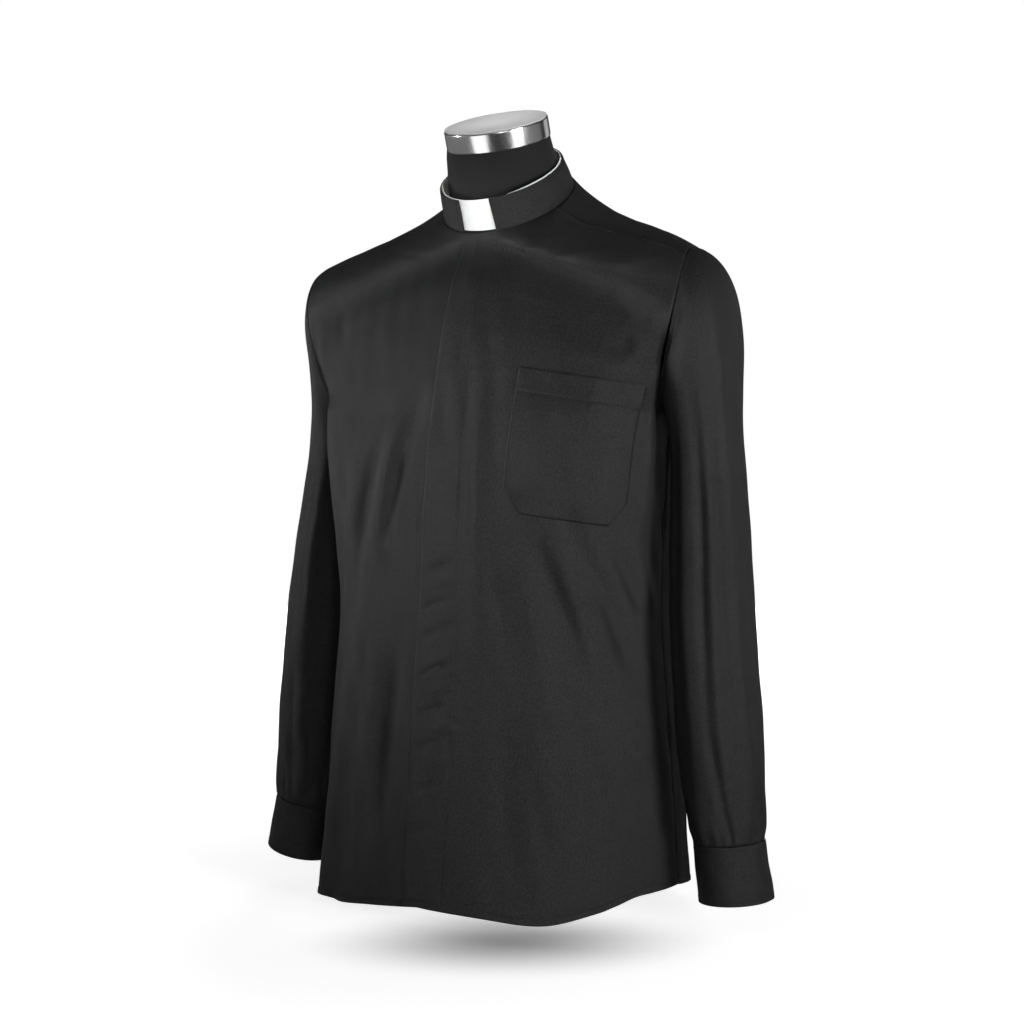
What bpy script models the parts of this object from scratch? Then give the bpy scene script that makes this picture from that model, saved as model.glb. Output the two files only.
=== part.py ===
"""Black clergy shirt on a limbless dress form.

Metres, +Z up. The front faces -Y and the wearer's left is +X.
The origin is the centre of the form's flat foot.
"""

import math
from collections import namedtuple

import bmesh
import bpy
import numpy as np
from mathutils import Vector

# Driving sizes
WALL = 0.0012
STIFF_WALL = 0.0016
SEAM_GAP = 0.0003
SEAM_PULL = 0.00034
MERGE_DISTANCE = 0.00002
NEARLY_ZERO = 1e-9
THIRD = 1 / 3

# Shirt body: half width at the side seam, front and back depth on the centre line, squareness of a section
Section = namedtuple("Section", "z half_width front back square")
SHIRT_SECTIONS = [
    Section(0.000, 0.2020, 0.1760, 0.1640, 0.560),
    Section(0.030, 0.2000, 0.1715, 0.1610, 0.560),
    Section(0.170, 0.1920, 0.1560, 0.1470, 0.580),
    Section(0.315, 0.1810, 0.1410, 0.1320, 0.610),
    Section(0.410, 0.1850, 0.1335, 0.1290, 0.720),
    Section(0.485, 0.1890, 0.1215, 0.1290, 0.820),
    Section(0.512, 0.1905, 0.1150, 0.1285, 0.830),
    Section(0.584, 0.1905, 0.0975, 0.1230, 0.760),
    Section(0.642, 0.1905, 0.0775, 0.1100, 0.600),
    Section(0.6935, 0.1905, 0.0535, 0.0950, 0.560),
    Section(0.730, 0.1905, 0.0535, 0.0820, 0.560),
    Section(0.7698, 0.1905, 0.0535, 0.0685, 0.560),
]
ARMPIT_Z = 0.512

# Neckline: a tilted oval round the form's neck
NECK_HALF_WIDTH = 0.0705
NECK_HALF_DEPTH = 0.0610
NECK_CENTRE_Y = 0.0075
NECK_FRONT_Z = 0.6935
NECK_SLOPE = 0.6254

# Armhole: an oval seen from the side, whose distance from the centre plane follows its height
ARMHOLE_MID_Z = 0.5895
ARMHOLE_HALF_HEIGHT = 0.0775
ARMHOLE_FRONT = 0.052
ARMHOLE_BACK = 0.058
ArmholeReach = namedtuple("ArmholeReach", "z x")
ARMHOLE_REACH = [
    ArmholeReach(0.512, 0.1905),
    ArmholeReach(0.530, 0.1960),
    ArmholeReach(0.555, 0.2030),
    ArmholeReach(0.580, 0.2100),
    ArmholeReach(0.605, 0.2160),
    ArmholeReach(0.630, 0.2205),
    ArmholeReach(0.650, 0.2210),
    ArmholeReach(0.667, 0.2175),
]

# Rows of each panel from its lower or front edge to its last seam. A row starts on the centre line at
# centre_z, or on the neckline at neck_deg from the front, and ends on the armhole at arm_deg from its lowest
# point. flat turns a round section, 0, into a straight run, 1.
Row = namedtuple("Row", "at centre_z neck_deg arm_deg flat")
FRONT_ROWS = [
    Row(0.00, 0.000, 0, 0, 0.00),
    Row(0.66, ARMPIT_Z, 0, 0, 0.00),
    Row(0.80, 0.600, 0, 55, 0.12),
    Row(0.92, NECK_FRONT_Z, 0, 105, 0.45),
    Row(1.00, NECK_FRONT_Z, 72, 150, 0.90),
]
YOKE_ROWS = [
    Row(0.00, NECK_FRONT_Z, 72, 150, 0.90),
    Row(0.22, 0.7698, 97, 180, 1.00),
    Row(0.45, 0.7698, 140, 196, 1.00),
    Row(0.62, 0.7698, 180, 204, 0.95),
    Row(1.00, 0.6720, 180, 218, 0.75),
]
BACK_ROWS = [
    Row(0.00, 0.000, 180, 360, 0.00),
    Row(0.70, ARMPIT_Z, 180, 360, 0.00),
    Row(0.86, 0.600, 180, 300, 0.25),
    Row(1.00, 0.6720, 180, 218, 0.75),
]
BODY_END = 0.66
BACK_BODY_END = 0.70
SHOULDER_HOLLOW = 0.30

# Shirt-tail hem: height above the floor along each panel, from the centre line, 0, to the side seam, 1
Hem = namedtuple("Hem", "along left right back_left back_right")
HEM = [
    Hem(0.00, 0.0215, 0.0215, 0.0060, 0.0060),
    Hem(0.20, 0.0165, 0.0150, 0.0060, 0.0060),
    Hem(0.40, 0.0105, 0.0075, 0.0085, 0.0065),
    Hem(0.60, 0.0200, 0.0050, 0.0150, 0.0075),
    Hem(0.80, 0.0320, 0.0060, 0.0250, 0.0095),
    Hem(1.00, 0.0325, 0.0120, 0.0325, 0.0120),
]

# Columns and lines of the panels' grids; the fronts' columns are given as shares of the way to the side seam
FRONT_SHARES = [
    0, 0.08, 0.15, 0.21, 0.27, 0.33, 0.39, 0.45, 0.51, 0.56, 0.61, 0.66, 0.71, 0.77, 0.83, 0.89, 0.95, 1
]
FRONT_LINES = 22
BACK_COLUMNS = 30
BACK_LINES = 20
YOKE_COLUMNS = 10
YOKE_LINES = 10
FINE_STEPS = 240


def curve_through(xs, ys, x):
    """A smooth curve through the points (xs, ys): cubic pieces whose slopes never overshoot the table."""
    xs = np.asarray(xs, float)
    ys = np.asarray(ys, float)
    steps = np.diff(xs)
    rises = np.diff(ys) / steps
    slopes = np.empty_like(ys)
    slopes[0], slopes[-1] = rises[0], rises[-1]
    same_way = rises[:-1] * rises[1:] > 0
    weights = 2 * steps[1:] + steps[:-1], steps[1:] + 2 * steps[:-1]
    safe = np.where(same_way, rises[:-1], 1), np.where(same_way, rises[1:], 1)
    mean = (weights[0] + weights[1]) / (weights[0] / safe[0] + weights[1] / safe[1])
    slopes[1:-1] = np.where(same_way, mean, 0)
    x = np.clip(np.asarray(x, float), xs[0], xs[-1])
    k = np.clip(np.searchsorted(xs, x, side="right") - 1, 0, len(xs) - 2)
    t = (x - xs[k]) / steps[k]
    start, end = ys[k], ys[k + 1]
    lead, trail = slopes[k] * steps[k], slopes[k + 1] * steps[k]
    return (
        start * (1 + 2 * t) * (1 - t) ** 2
        + lead * t * (1 - t) ** 2
        + end * t**2 * (3 - 2 * t)
        - trail * t**2 * (1 - t)
    )


def column(table, key, field, x):
    """One column of a table, read smoothly at x along its key column."""
    return curve_through([getattr(row, key) for row in table], [getattr(row, field) for row in table], x)


def neckline(angle):
    """Points of the neckline at an angle from the centre front, in radians."""
    x = NECK_HALF_WIDTH * np.sin(angle)
    y = NECK_CENTRE_Y - NECK_HALF_DEPTH * np.cos(angle)
    z = NECK_FRONT_Z + NECK_SLOPE * (y - NECK_CENTRE_Y + NECK_HALF_DEPTH)
    return np.stack([x, y, z], -1)


def armhole(angle):
    """Points of the wearer's left armhole at an angle from its lowest point: front, top, then back."""
    depth = np.where(np.sin(angle) > 0, ARMHOLE_FRONT, ARMHOLE_BACK)
    y = -depth * np.sin(angle)
    z = ARMHOLE_MID_Z - ARMHOLE_HALF_HEIGHT * np.cos(angle)
    return np.stack([column(ARMHOLE_REACH, "z", "x", z), y, z], -1)


def panel_rows(rows, sections, facing, at, lift):
    """The four control points of each row: a quarter oval below the arm, nearly straight at the shoulder."""
    centre_z = column(rows, "at", "centre_z", at)
    neck = np.radians(column(rows, "at", "neck_deg", at))
    arm = np.radians(column(rows, "at", "arm_deg", at))
    flat = column(rows, "at", "flat", at)
    height = centre_z + lift
    on_neck = ((neck > NEARLY_ZERO) & (neck < math.pi - NEARLY_ZERO))[..., None]
    depth = column(sections, "z", "front" if facing < 0 else "back", height)
    centre = np.stack([np.zeros_like(height), facing * depth, height], -1)
    inner = np.where(on_neck, neckline(neck), centre)
    below_arm = (np.abs(np.sin(arm)) < NEARLY_ZERO)[..., None] & (np.cos(arm) > 0)[..., None]
    side = np.stack([column(sections, "z", "half_width", height), np.zeros_like(height), height], -1)
    outer = np.where(below_arm, side, armhole(arm))
    square = column(sections, "z", "square", height)
    run = square + (THIRD - square) * flat
    near = inner + (outer - inner) * np.stack([run, flat * THIRD, THIRD + SHOULDER_HOLLOW * flat], -1)
    far = outer + (inner - outer) * np.stack([flat * THIRD, run, np.full_like(run, THIRD)], -1)
    return inner, near, far, outer


def bezier(points, t):
    """The cubic Bezier curve through four control points at t."""
    a, b, c, d = points
    t = t[..., None]
    return a * (1 - t) ** 3 + 3 * b * t * (1 - t) ** 2 + 3 * c * t**2 * (1 - t) + d * t**3


Panel = namedtuple("Panel", "rows body_end facing side hem folds")


def spaced_points(panel, at, along):
    """Points of half a panel, evenly spaced along each row, and each row's length from the centre line."""
    t = np.linspace(0, 1, FINE_STEPS)
    lines, fine = np.meshgrid(at, t, indexing="ij")
    hem = column(HEM, "along", panel.hem, fine) if panel.hem else 0
    lift = hem * np.clip(1 - lines / panel.body_end, 0, 1)
    dense = bezier(panel_rows(panel.rows, SHIRT_SECTIONS, panel.facing, lines, lift), fine)
    runs = np.cumsum(np.linalg.norm(np.diff(dense, axis=1), axis=2), axis=1)
    runs = np.concatenate([np.zeros((len(at), 1)), runs], axis=1)
    points = np.empty((len(at), len(along), 3))
    for line, (run, place) in enumerate(zip(runs, dense)):
        wanted = along * run[-1]
        for axis in range(3):
            points[line, :, axis] = np.interp(wanted, run, place[:, axis])
    return points * [panel.side, 1, 1], runs[:, -1]


def unit(vectors):
    return vectors / np.maximum(np.linalg.norm(vectors, axis=-1, keepdims=True), NEARLY_ZERO)


def normals_of(points, outward):
    """Unit normals of a grid of points, turned to the side of the vectors outward."""
    normals = unit(np.cross(np.gradient(points, axis=0), np.gradient(points, axis=1)))
    return normals * np.where((normals * outward).sum(-1, keepdims=True) < 0, -1, 1)


def away_from_axis(points):
    """Vectors from the middle of the body to each point, level below the arm and rising above it."""
    rise = np.clip(points[..., 2:] - ARMPIT_Z, 0, None)
    return np.concatenate([points[..., :2], 2 * rise], axis=-1)


# Folds: a soft ridge, or a trough with a negative height, from its lower end to its upper end. along is the
# distance from the centre front or centre back along the cloth, positive on the wearer's left.
FOLD_FADE = 0.8
Fold = namedtuple("Fold", "low_along low_z high_along high_z width height")
FRONT_FOLDS = [
    Fold(0.058, 0.220, 0.031, 0.540, 0.014, 0.0024),
    Fold(0.031, 0.390, 0.019, 0.550, 0.008, -0.0014),
    Fold(0.228, 0.235, 0.126, 0.425, 0.016, -0.0044),
    Fold(0.224, 0.310, 0.170, 0.405, 0.014, -0.0030),
    Fold(0.160, 0.260, 0.100, 0.400, 0.013, -0.0028),
    Fold(0.186, 0.550, 0.219, 0.615, 0.011, 0.0022),
    Fold(-0.205, -0.150, -0.070, 0.430, 0.017, 0.0048),
    Fold(-0.066, 0.070, -0.043, 0.310, 0.016, -0.0042),
    Fold(-0.044, 0.065, -0.022, 0.150, 0.008, -0.0020),
    Fold(-0.117, 0.310, -0.079, 0.495, 0.011, -0.0024),
    Fold(-0.075, 0.350, -0.063, 0.530, 0.009, 0.0018),
    Fold(-0.065, 0.370, -0.031, 0.540, 0.010, -0.0024),
]
BACK_FOLDS = [
    Fold(0.118, -0.120, 0.084, 0.610, 0.021, 0.0046),
    Fold(-0.108, -0.060, -0.092, 0.580, 0.020, 0.0040),
    Fold(0.026, 0.020, 0.008, 0.520, 0.018, -0.0034),
    Fold(-0.040, -0.080, -0.052, 0.430, 0.017, -0.0036),
    Fold(0.214, 0.240, 0.136, 0.430, 0.016, -0.0040),
    Fold(-0.222, 0.200, -0.150, 0.380, 0.017, -0.0036),
]


def fold_height(folds, along, z):
    """Total height of the folds at places given by their distance along the cloth and their height z."""
    total = np.zeros_like(along)
    for fold in folds:
        t = (z - fold.low_z) / (fold.high_z - fold.low_z)
        middle = fold.low_along + (fold.high_along - fold.low_along) * t
        fade = np.sin(math.pi * np.clip(t, 0, 1)) ** FOLD_FADE
        total += fold.height * fade * np.exp(-(((along - middle) / fold.width) ** 2))
    return total


def half_panel(panel, at, along):
    """Points of one half of a panel with its folds raised."""
    points, lengths = spaced_points(panel, at, along)
    distance = panel.side * along[None, :] * lengths[:, None]
    raised = fold_height(panel.folds, distance, points[..., 2])
    return points + normals_of(points, away_from_axis(points)) * raised[..., None]


def pull_in(points, first_line=0.0, last_line=0.0, first_column=0.0, last_column=0.0):
    """The grid with each edge moved towards its neighbour by the gap given for it."""
    points = points.copy()
    points[0] += unit(points[1] - points[0]) * first_line
    points[-1] += unit(points[-2] - points[-1]) * last_line
    points[:, 0] += unit(points[:, 1] - points[:, 0]) * first_column
    points[:, -1] += unit(points[:, -2] - points[:, -1]) * last_column
    return points


def grid_faces(lines, columns, closed=False):
    """Quads of a grid of points, whose last column joins the first one if it is closed."""
    index = np.arange(lines * columns).reshape(lines, columns)
    if closed:
        index = np.concatenate([index, index[:, :1]], axis=1)
    return np.stack([index[:-1, :-1], index[:-1, 1:], index[1:, 1:], index[1:, :-1]], -1).reshape(-1, 4)


def material(name, colour, roughness, metallic=0.0):
    made = bpy.data.materials.new(name)
    made.use_nodes = True
    shader = made.node_tree.nodes["Principled BSDF"]
    shader.inputs["Base Color"].default_value = (*colour, 1)
    shader.inputs["Roughness"].default_value = roughness
    shader.inputs["Metallic"].default_value = metallic
    return made


def add_mesh(name, points, faces, finish, collection):
    mesh = bpy.data.meshes.new(name)
    mesh.from_pydata(np.asarray(points).reshape(-1, 3).tolist(), [], np.asarray(faces).tolist())
    mesh.materials.append(finish)
    mesh.shade_smooth()
    piece = bpy.data.objects.new(name, mesh)
    collection.objects.link(piece)
    return piece


def solidify(piece, thickness, offset=0.0):
    """Gives an open surface its wall: centred on it, or all on one side with an offset of 1 or -1."""
    wall = piece.modifiers.new("Wall", "SOLIDIFY")
    wall.thickness = thickness
    wall.offset = offset
    wall.use_rim = True
    return piece


def add_cloth(name, points, finish, collection, thickness=WALL, closed=False):
    """A cloth wall on a grid of points."""
    lines, columns = points.shape[:2]
    piece = add_mesh(name, points, grid_faces(lines, columns, closed), finish, collection)
    return solidify(piece, thickness)


def front_panel(side):
    return Panel(FRONT_ROWS, BODY_END, -1, side, "left" if side > 0 else "right", FRONT_FOLDS)


def back_panel(side):
    return Panel(BACK_ROWS, BACK_BODY_END, 1, side, "back_left" if side > 0 else "back_right", BACK_FOLDS)


def spread(first, last, count):
    return np.linspace(first, last, count)


def line_places(rows, count):
    """Places of a panel's lines: even, with each row of its table on the nearest line."""
    places = spread(0, 1, count)
    for row in rows[1:-1]:
        places[np.argmin(np.abs(places - row.at))] = row.at
    return places


def add_front(name, side, finish, collection):
    points = half_panel(front_panel(side), line_places(FRONT_ROWS, FRONT_LINES), np.array(FRONT_SHARES))
    return add_cloth(name, pull_in(points, 0, SEAM_PULL, SEAM_PULL, SEAM_PULL), finish, collection)


def back_points(lines, columns):
    """The back from the wearer's right side seam to the left one."""
    at = line_places(BACK_ROWS, lines)
    along = spread(0, 1, columns)
    right = half_panel(back_panel(-1), at, along)[:, ::-1]
    left = half_panel(back_panel(1), at, along)
    return np.concatenate([right, left[:, 1:]], axis=1)


def add_back(finish, collection):
    points = pull_in(back_points(BACK_LINES, BACK_COLUMNS // 2 + 1), 0, SEAM_PULL, SEAM_PULL, SEAM_PULL)
    return add_cloth("back", points, finish, collection)


def yoke_half(lines, columns):
    panel = Panel(YOKE_ROWS, 1.0, 1, 1, None, [])
    return half_panel(panel, line_places(YOKE_ROWS, lines), spread(0, 1, columns))


def add_yoke(finish, collection):
    """Half of the yoke, open on the centre plane behind the neck, mirrored and then thickened."""
    points = pull_in(yoke_half(YOKE_LINES, YOKE_COLUMNS), SEAM_PULL, SEAM_PULL, 0, SEAM_PULL)
    points[np.abs(points[..., 0]) < SEAM_PULL, 0] = 0
    piece = add_mesh("yoke", points, grid_faces(*points.shape[:2]), finish, collection)
    mirror = piece.modifiers.new("Other half", "MIRROR")
    mirror.merge_threshold = MERGE_DISTANCE
    return solidify(piece, WALL)


# Sleeves: level sections below the arm, and the ends of the cuff
SleeveSection = namedtuple(
    "SleeveSection", "z left_x right_x left_y right_y left_half right_half half_depth left_tilt right_tilt"
)
SLEEVE_SECTIONS = [
    SleeveSection(0.024, 0.2670, 0.2620, -0.0050, -0.0050, 0.0345, 0.0335, 0.0365, 0.06, 0.25),
    SleeveSection(0.082, 0.2590, 0.2510, -0.0050, -0.0050, 0.0340, 0.0330, 0.0360, 0.06, 0.25),
    SleeveSection(0.096, 0.2580, 0.2475, -0.0048, -0.0045, 0.0370, 0.0355, 0.0420, 0.06, 0.22),
    SleeveSection(0.180, 0.2500, 0.2430, -0.0020, 0.0000, 0.0400, 0.0362, 0.0485, 0.04, 0.10),
    SleeveSection(0.300, 0.2375, 0.2325, 0.0030, 0.0050, 0.0400, 0.0345, 0.0520, 0.00, 0.00),
    SleeveSection(0.450, 0.2318, 0.2270, 0.0050, 0.0290, 0.0348, 0.0315, 0.0490, 0.00, 0.00),
]

# Sleeve head: how far it swells, the direction in which the cloth leaves the armhole at its low point and what
# the top adds to it, and the direction of the gap to the body
HEAD_FULLNESS = {1: 0.82, -1: 0.25}
HEAD_LEAVES = (0.40, -0.45, -0.808)
HEAD_TOP_ADDS = (0.50, 0.0, 0.52)
HEAD_ASIDE = (1.0, 0.6, -0.447)
HEAD_CLEAR_WALLS = 1.2
CUFF_HANG = {1: 0.003, -1: -0.003}
HANG_REACH = 0.25
HEAD_SHARE = 0.42
SLEEVE_LOW = 0.082
CUFF_TOP = 0.0812
CUFF_LOW = 0.0235
CUFF_FLARE = 0.0012
SLEEVE_COLUMNS = 20
SLEEVE_LINES = 20
TUCKS = 5
TUCK_DEPTH = 0.0016
TUCK_REACH = 0.055


def sleeve_section(side, z, angle, out=0.0):
    """Points of a sleeve section: angle 0 faces the body, a quarter turn is the front. out widens it."""
    hand = "left" if side > 0 else "right"
    z = np.asarray(z, float)
    half_width = column(SLEEVE_SECTIONS, "z", hand + "_half", z) + out
    half_depth = column(SLEEVE_SECTIONS, "z", "half_depth", z) + out
    aside = -half_width * np.cos(angle)
    x = column(SLEEVE_SECTIONS, "z", hand + "_x", z) + aside
    y = column(SLEEVE_SECTIONS, "z", hand + "_y", z) - half_depth * np.sin(angle)
    tilt = column(SLEEVE_SECTIONS, "z", hand + "_tilt", z)
    hang = CUFF_HANG[side] * np.clip(1 - (z - SLEEVE_LOW) / HANG_REACH, 0, 1)
    return np.stack([x, y, z + tilt * aside + hang], -1)


def sleeve_head(angle):
    """The sleeve's edge at the armhole, just clear of the body, and the direction in which it leaves."""
    top = ((1 - np.cos(angle)) / 2) ** 2
    low_x, low_y, low_z = HEAD_LEAVES
    add_x, add_y, add_z = HEAD_TOP_ADDS
    leave = unit(
        np.stack([low_x + add_x * top, (low_y + add_y * top) * np.sin(angle), low_z + add_z * top], -1)
    )
    aside_x, aside_y, aside_z = HEAD_ASIDE
    aside = unit(np.stack([aside_x + 0 * angle, aside_y * np.sin(angle), aside_z * top], -1))
    clear = SEAM_GAP + WALL * (HEAD_CLEAR_WALLS - top)
    return armhole(angle) + aside * clear[..., None], leave


def sleeve_points(side, lines, columns):
    """Rings of a sleeve: from the armhole the head turns down into level sections that end at the cuff."""
    angle = spread(0, 2 * math.pi, columns + 1)[:-1]
    down = spread(0, 1, lines)
    down, angle = np.meshgrid(down, angle, indexing="ij")
    top_z, low_z = SLEEVE_SECTIONS[-1].z, SLEEVE_LOW
    start, leave = sleeve_head(angle)
    end = sleeve_section(side, top_z + 0 * angle, angle)
    below = sleeve_section(side, top_z - 0.01 + 0 * angle, angle)
    chord = np.linalg.norm(end - start, axis=-1, keepdims=True)
    full = HEAD_FULLNESS[side]
    t = np.clip(down / HEAD_SHARE, 0, 1)[..., None]
    head = (
        start * (1 + 2 * t) * (1 - t) ** 2
        + leave * chord * full * t * (1 - t) ** 2
        + end * t**2 * (3 - 2 * t)
        - unit(below - end) * chord * t**2 * (1 - t)
    )
    run = np.clip((down - HEAD_SHARE) / (1 - HEAD_SHARE), 0, 1)
    z = top_z + (low_z - top_z) * run
    arm = sleeve_section(side, z, angle)
    near_cuff = np.clip(1 - (z - low_z) / TUCK_REACH, 0, 1)
    tuck = TUCK_DEPTH * np.sin(math.pi * near_cuff) * np.cos(TUCKS * angle)
    outward = unit(arm - arm.mean(axis=1, keepdims=True))
    arm = arm + outward * tuck[..., None]
    points = np.where((down < HEAD_SHARE)[..., None], head, arm)
    return points * [side, 1, 1]


def add_sleeve(name, side, finish, collection):
    points = sleeve_points(side, SLEEVE_LINES, SLEEVE_COLUMNS)
    return add_cloth(name, points, finish, collection, closed=True)


# Cuff: one strip round the wrist whose ends overlap behind the outer side
CUFF_START_DEG = 235
CUFF_OVERLAP_DEG = 28
CUFF_STEP = STIFF_WALL + SEAM_GAP
CUFF_COLUMNS = 30
CUFF_LINES = 4
BUTTON_RADIUS = 0.0055
BUTTON_THICKNESS = 0.0022
BUTTON_SEGMENTS = 20


def cuff_points(side, turn, down):
    """Points of the cuff: turn runs once round and past the overlap, down from its top edge to its low one."""
    overlap = CUFF_OVERLAP_DEG / 360
    angle = np.radians(CUFF_START_DEG) + 2 * math.pi * turn * (1 + overlap)
    lap = np.clip((turn * (1 + overlap) - 1 + 2 * overlap) / overlap, 0, 1)
    out = CUFF_STEP * lap * lap * (3 - 2 * lap) + CUFF_FLARE * down
    z = CUFF_TOP + (CUFF_LOW - CUFF_TOP) * down
    return sleeve_section(side, z + 0 * angle, angle, out) * [side, 1, 1]


def add_cuff(name, side, finish, collection):
    down, turn = np.meshgrid(spread(0, 1, CUFF_LINES), spread(0, 1, CUFF_COLUMNS), indexing="ij")
    return add_cloth(name, cuff_points(side, turn, down), finish, collection, STIFF_WALL)


def add_cuff_button(name, side, finish, collection):
    """A flat round button on the outer end of the cuff."""
    mesh = bpy.data.meshes.new(name)
    build = bmesh.new()
    bmesh.ops.create_cone(
        build, cap_ends=True, segments=BUTTON_SEGMENTS, radius1=BUTTON_RADIUS, radius2=BUTTON_RADIUS,
        depth=BUTTON_THICKNESS,
    )
    build.to_mesh(mesh)
    build.free()
    mesh.materials.append(finish)
    piece = bpy.data.objects.new(name, mesh)
    collection.objects.link(piece)
    turn = 1 - 0.5 * CUFF_OVERLAP_DEG / 360
    around = [(turn, 0.5), (turn + 0.01, 0.5), (turn, 0.6)]
    place, beside, under = (cuff_points(side, np.float64(t), np.float64(down)) for t, down in around)
    normal = unit(np.cross(beside - place, under - place))
    centre = np.array([side * SLEEVE_SECTIONS[0].left_x, 0, place[2]])
    normal = normal * (1 if np.dot(normal, place - centre) > 0 else -1)
    stand = STIFF_WALL / 2 + SEAM_GAP + BUTTON_THICKNESS / 2
    place = place + normal * stand
    piece.location = place.tolist()
    piece.rotation_euler = Vector(normal.tolist()).to_track_quat("Z", "Y").to_euler()
    return piece


# Sleeve placket: the bound slit above the cuff, on the sleeve's back
PLACKET_TURN_DEG = 248
PLACKET_WIDTH = 0.022
PLACKET_LOW = 0.0845
PLACKET_TOP = 0.205
PLACKET_COLUMNS = 4
PLACKET_LINES = 9
ON_SLEEVE = WALL + SEAM_GAP + 0.0005


def add_sleeve_placket(name, side, finish, collection):
    """A strip made from the sleeve's own points, moved out by both walls and a gap."""
    z = spread(PLACKET_LOW, PLACKET_TOP, PLACKET_LINES)[:, None]
    middle = math.radians(PLACKET_TURN_DEG)
    half = PLACKET_WIDTH / 2 / SLEEVE_SECTIONS[2].right_half
    angle = spread(middle - half, middle + half, PLACKET_COLUMNS)[None, :] + 0 * z
    z = z + 0 * angle
    near_cuff = np.clip(1 - (z - SLEEVE_LOW) / TUCK_REACH, 0, 1)
    tuck = TUCK_DEPTH * np.sin(math.pi * near_cuff)
    points = sleeve_section(side, z, angle)
    axis = points * [0, 0, 1] + [SLEEVE_SECTIONS[2].left_x, 0, 0]
    points = points + normals_of(points, points - axis) * (ON_SLEEVE + tuck)[..., None]
    return add_cloth(name, points * [side, 1, 1], finish, collection)


# Fly placket and pocket: pieces on the front, placed by their distance along the cloth and their height
FLY_ACROSS = [-0.019, -0.0095, 0, 0.009, 0.018, 0.026]
FLY_TOP_DROP = 0.10
ON_PANEL = WALL + SEAM_GAP + 0.0003
POCKET_STAND = 0.0009
POCKET_WIDTH = 0.1325
POCKET_HEIGHT = 0.1420
POCKET_MITRE = 0.0240
POCKET_MITRE_WIDTH = 0.0215
POCKET_CORNER_ALONG = 0.0750
POCKET_CORNER_Z = 0.5560
POCKET_TOP_TURN = math.radians(8.0)
POCKET_SIDE_TURN = math.radians(3.2)
POCKET_COLUMNS = 16
POCKET_LINES = 12
PLACING_ROUNDS = 12


def on_grid(grid, line, place):
    """Values of a grid between its lines and columns."""
    lines, columns = grid.shape[:2]
    i = np.clip(np.floor(line).astype(int), 0, lines - 2)
    j = np.clip(np.floor(place).astype(int), 0, columns - 2)
    a, b = (line - i)[..., None], (place - j)[..., None]
    return (
        grid[i, j] * (1 - a) * (1 - b)
        + grid[i + 1, j] * a * (1 - b)
        + grid[i, j + 1] * (1 - a) * b
        + grid[i + 1, j + 1] * a * b
    )


def front_lines():
    """Places of the fronts' own lines, up to the one that starts at the neckline."""
    at = line_places(FRONT_ROWS, FRONT_LINES)
    return at[at <= FRONT_ROWS[-2].at]


def on_front(side, line, along):
    """Points of a front and its normals on its own lines, from the hem, at a distance along the cloth."""
    panel, at, share = front_panel(side), front_lines(), np.array(FRONT_SHARES)
    grid = half_panel(panel, at, share)
    lengths = spaced_points(panel, at, share)[1]
    reach = np.interp(line, np.arange(len(at)), lengths)
    place = np.interp(along / reach, share, np.arange(len(share)))
    return on_grid(grid, line, place), on_grid(normals_of(grid, away_from_axis(grid)), line, place)


def front_at(side, along, z):
    """Points of a front and its normals at a distance along the cloth and a height, by closing in on it."""
    last = len(front_lines()) - 1.001
    line = np.full(along.shape, 0.5 * last)
    for _ in range(PLACING_ROUNDS):
        below = np.floor(line)
        low_z, high_z = (on_front(side, step, along)[0][..., 2] for step in (below, below + 1))
        line = np.clip(below + (z - low_z) / (high_z - low_z), line - 1.5, line + 1.5)
        line = np.clip(line, 0, last)
    return on_front(side, line, along)


def add_fly(finish, collection):
    """The strip over both fronts, moved out from their own lines, along the whole centre line."""
    lines = np.arange(len(front_lines()), dtype=float)
    lines[-1] -= FLY_TOP_DROP
    line, across = np.meshgrid(lines, FLY_ACROSS, indexing="ij")
    left, left_normals = on_front(1, line, np.abs(across))
    right, right_normals = on_front(-1, line, np.abs(across))
    points = np.where((across < 0)[..., None], right, left)
    normals = np.where((across < 0)[..., None], right_normals, left_normals)
    return add_cloth("fly_placket", points + normals * ON_PANEL, finish, collection)


def pocket_outline(down, across):
    """Distance along the cloth and height of the pocket's points, with its lower corners cut off."""
    depth = POCKET_HEIGHT * down
    mitre = np.clip(depth - (POCKET_HEIGHT - POCKET_MITRE), 0, None)
    width = POCKET_WIDTH / 2 - mitre * POCKET_MITRE_WIDTH / POCKET_MITRE
    level = POCKET_WIDTH / 2 + (2 * across - 1) * width
    along = POCKET_CORNER_ALONG + level * math.cos(POCKET_TOP_TURN) - depth * math.sin(POCKET_SIDE_TURN)
    z = POCKET_CORNER_Z - level * math.sin(POCKET_TOP_TURN) - depth * math.cos(POCKET_SIDE_TURN)
    return along, z


def add_pocket(finish, collection):
    down = np.unique(np.append(spread(0, 1, POCKET_LINES), 1 - POCKET_MITRE / POCKET_HEIGHT))
    down, across = np.meshgrid(down, spread(0, 1, POCKET_COLUMNS), indexing="ij")
    along, z = pocket_outline(down, across)
    points, normals = front_at(1, along, z)
    return add_cloth("chest_pocket", points + normals * (ON_PANEL + POCKET_STAND), finish, collection)


# Collar: a standing band with an open front, and the white ring inside it
CollarEdge = namedtuple("CollarEdge", "up half_width half_depth centre_y front_z slope")
COLLAR_EDGES = [
    CollarEdge(0.0, 0.0697, 0.0606, 0.0069, 0.6945, 0.6254),
    CollarEdge(1.0, 0.0648, 0.0590, -0.0090, 0.7262, 0.570),
]
COLLAR_GAP = 0.037
COLLAR_COLUMNS = 44
COLLAR_LINES = 4
INSERT_INSET = STIFF_WALL / 2 + SEAM_GAP + WALL / 2 + 0.0003
INSERT_LOW = 0.06
INSERT_RISE = 0.0022
INSERT_FRONT_RISE = 0.0004
INSERT_RISE_REACH = 0.5
INSERT_COLUMNS = 48


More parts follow.
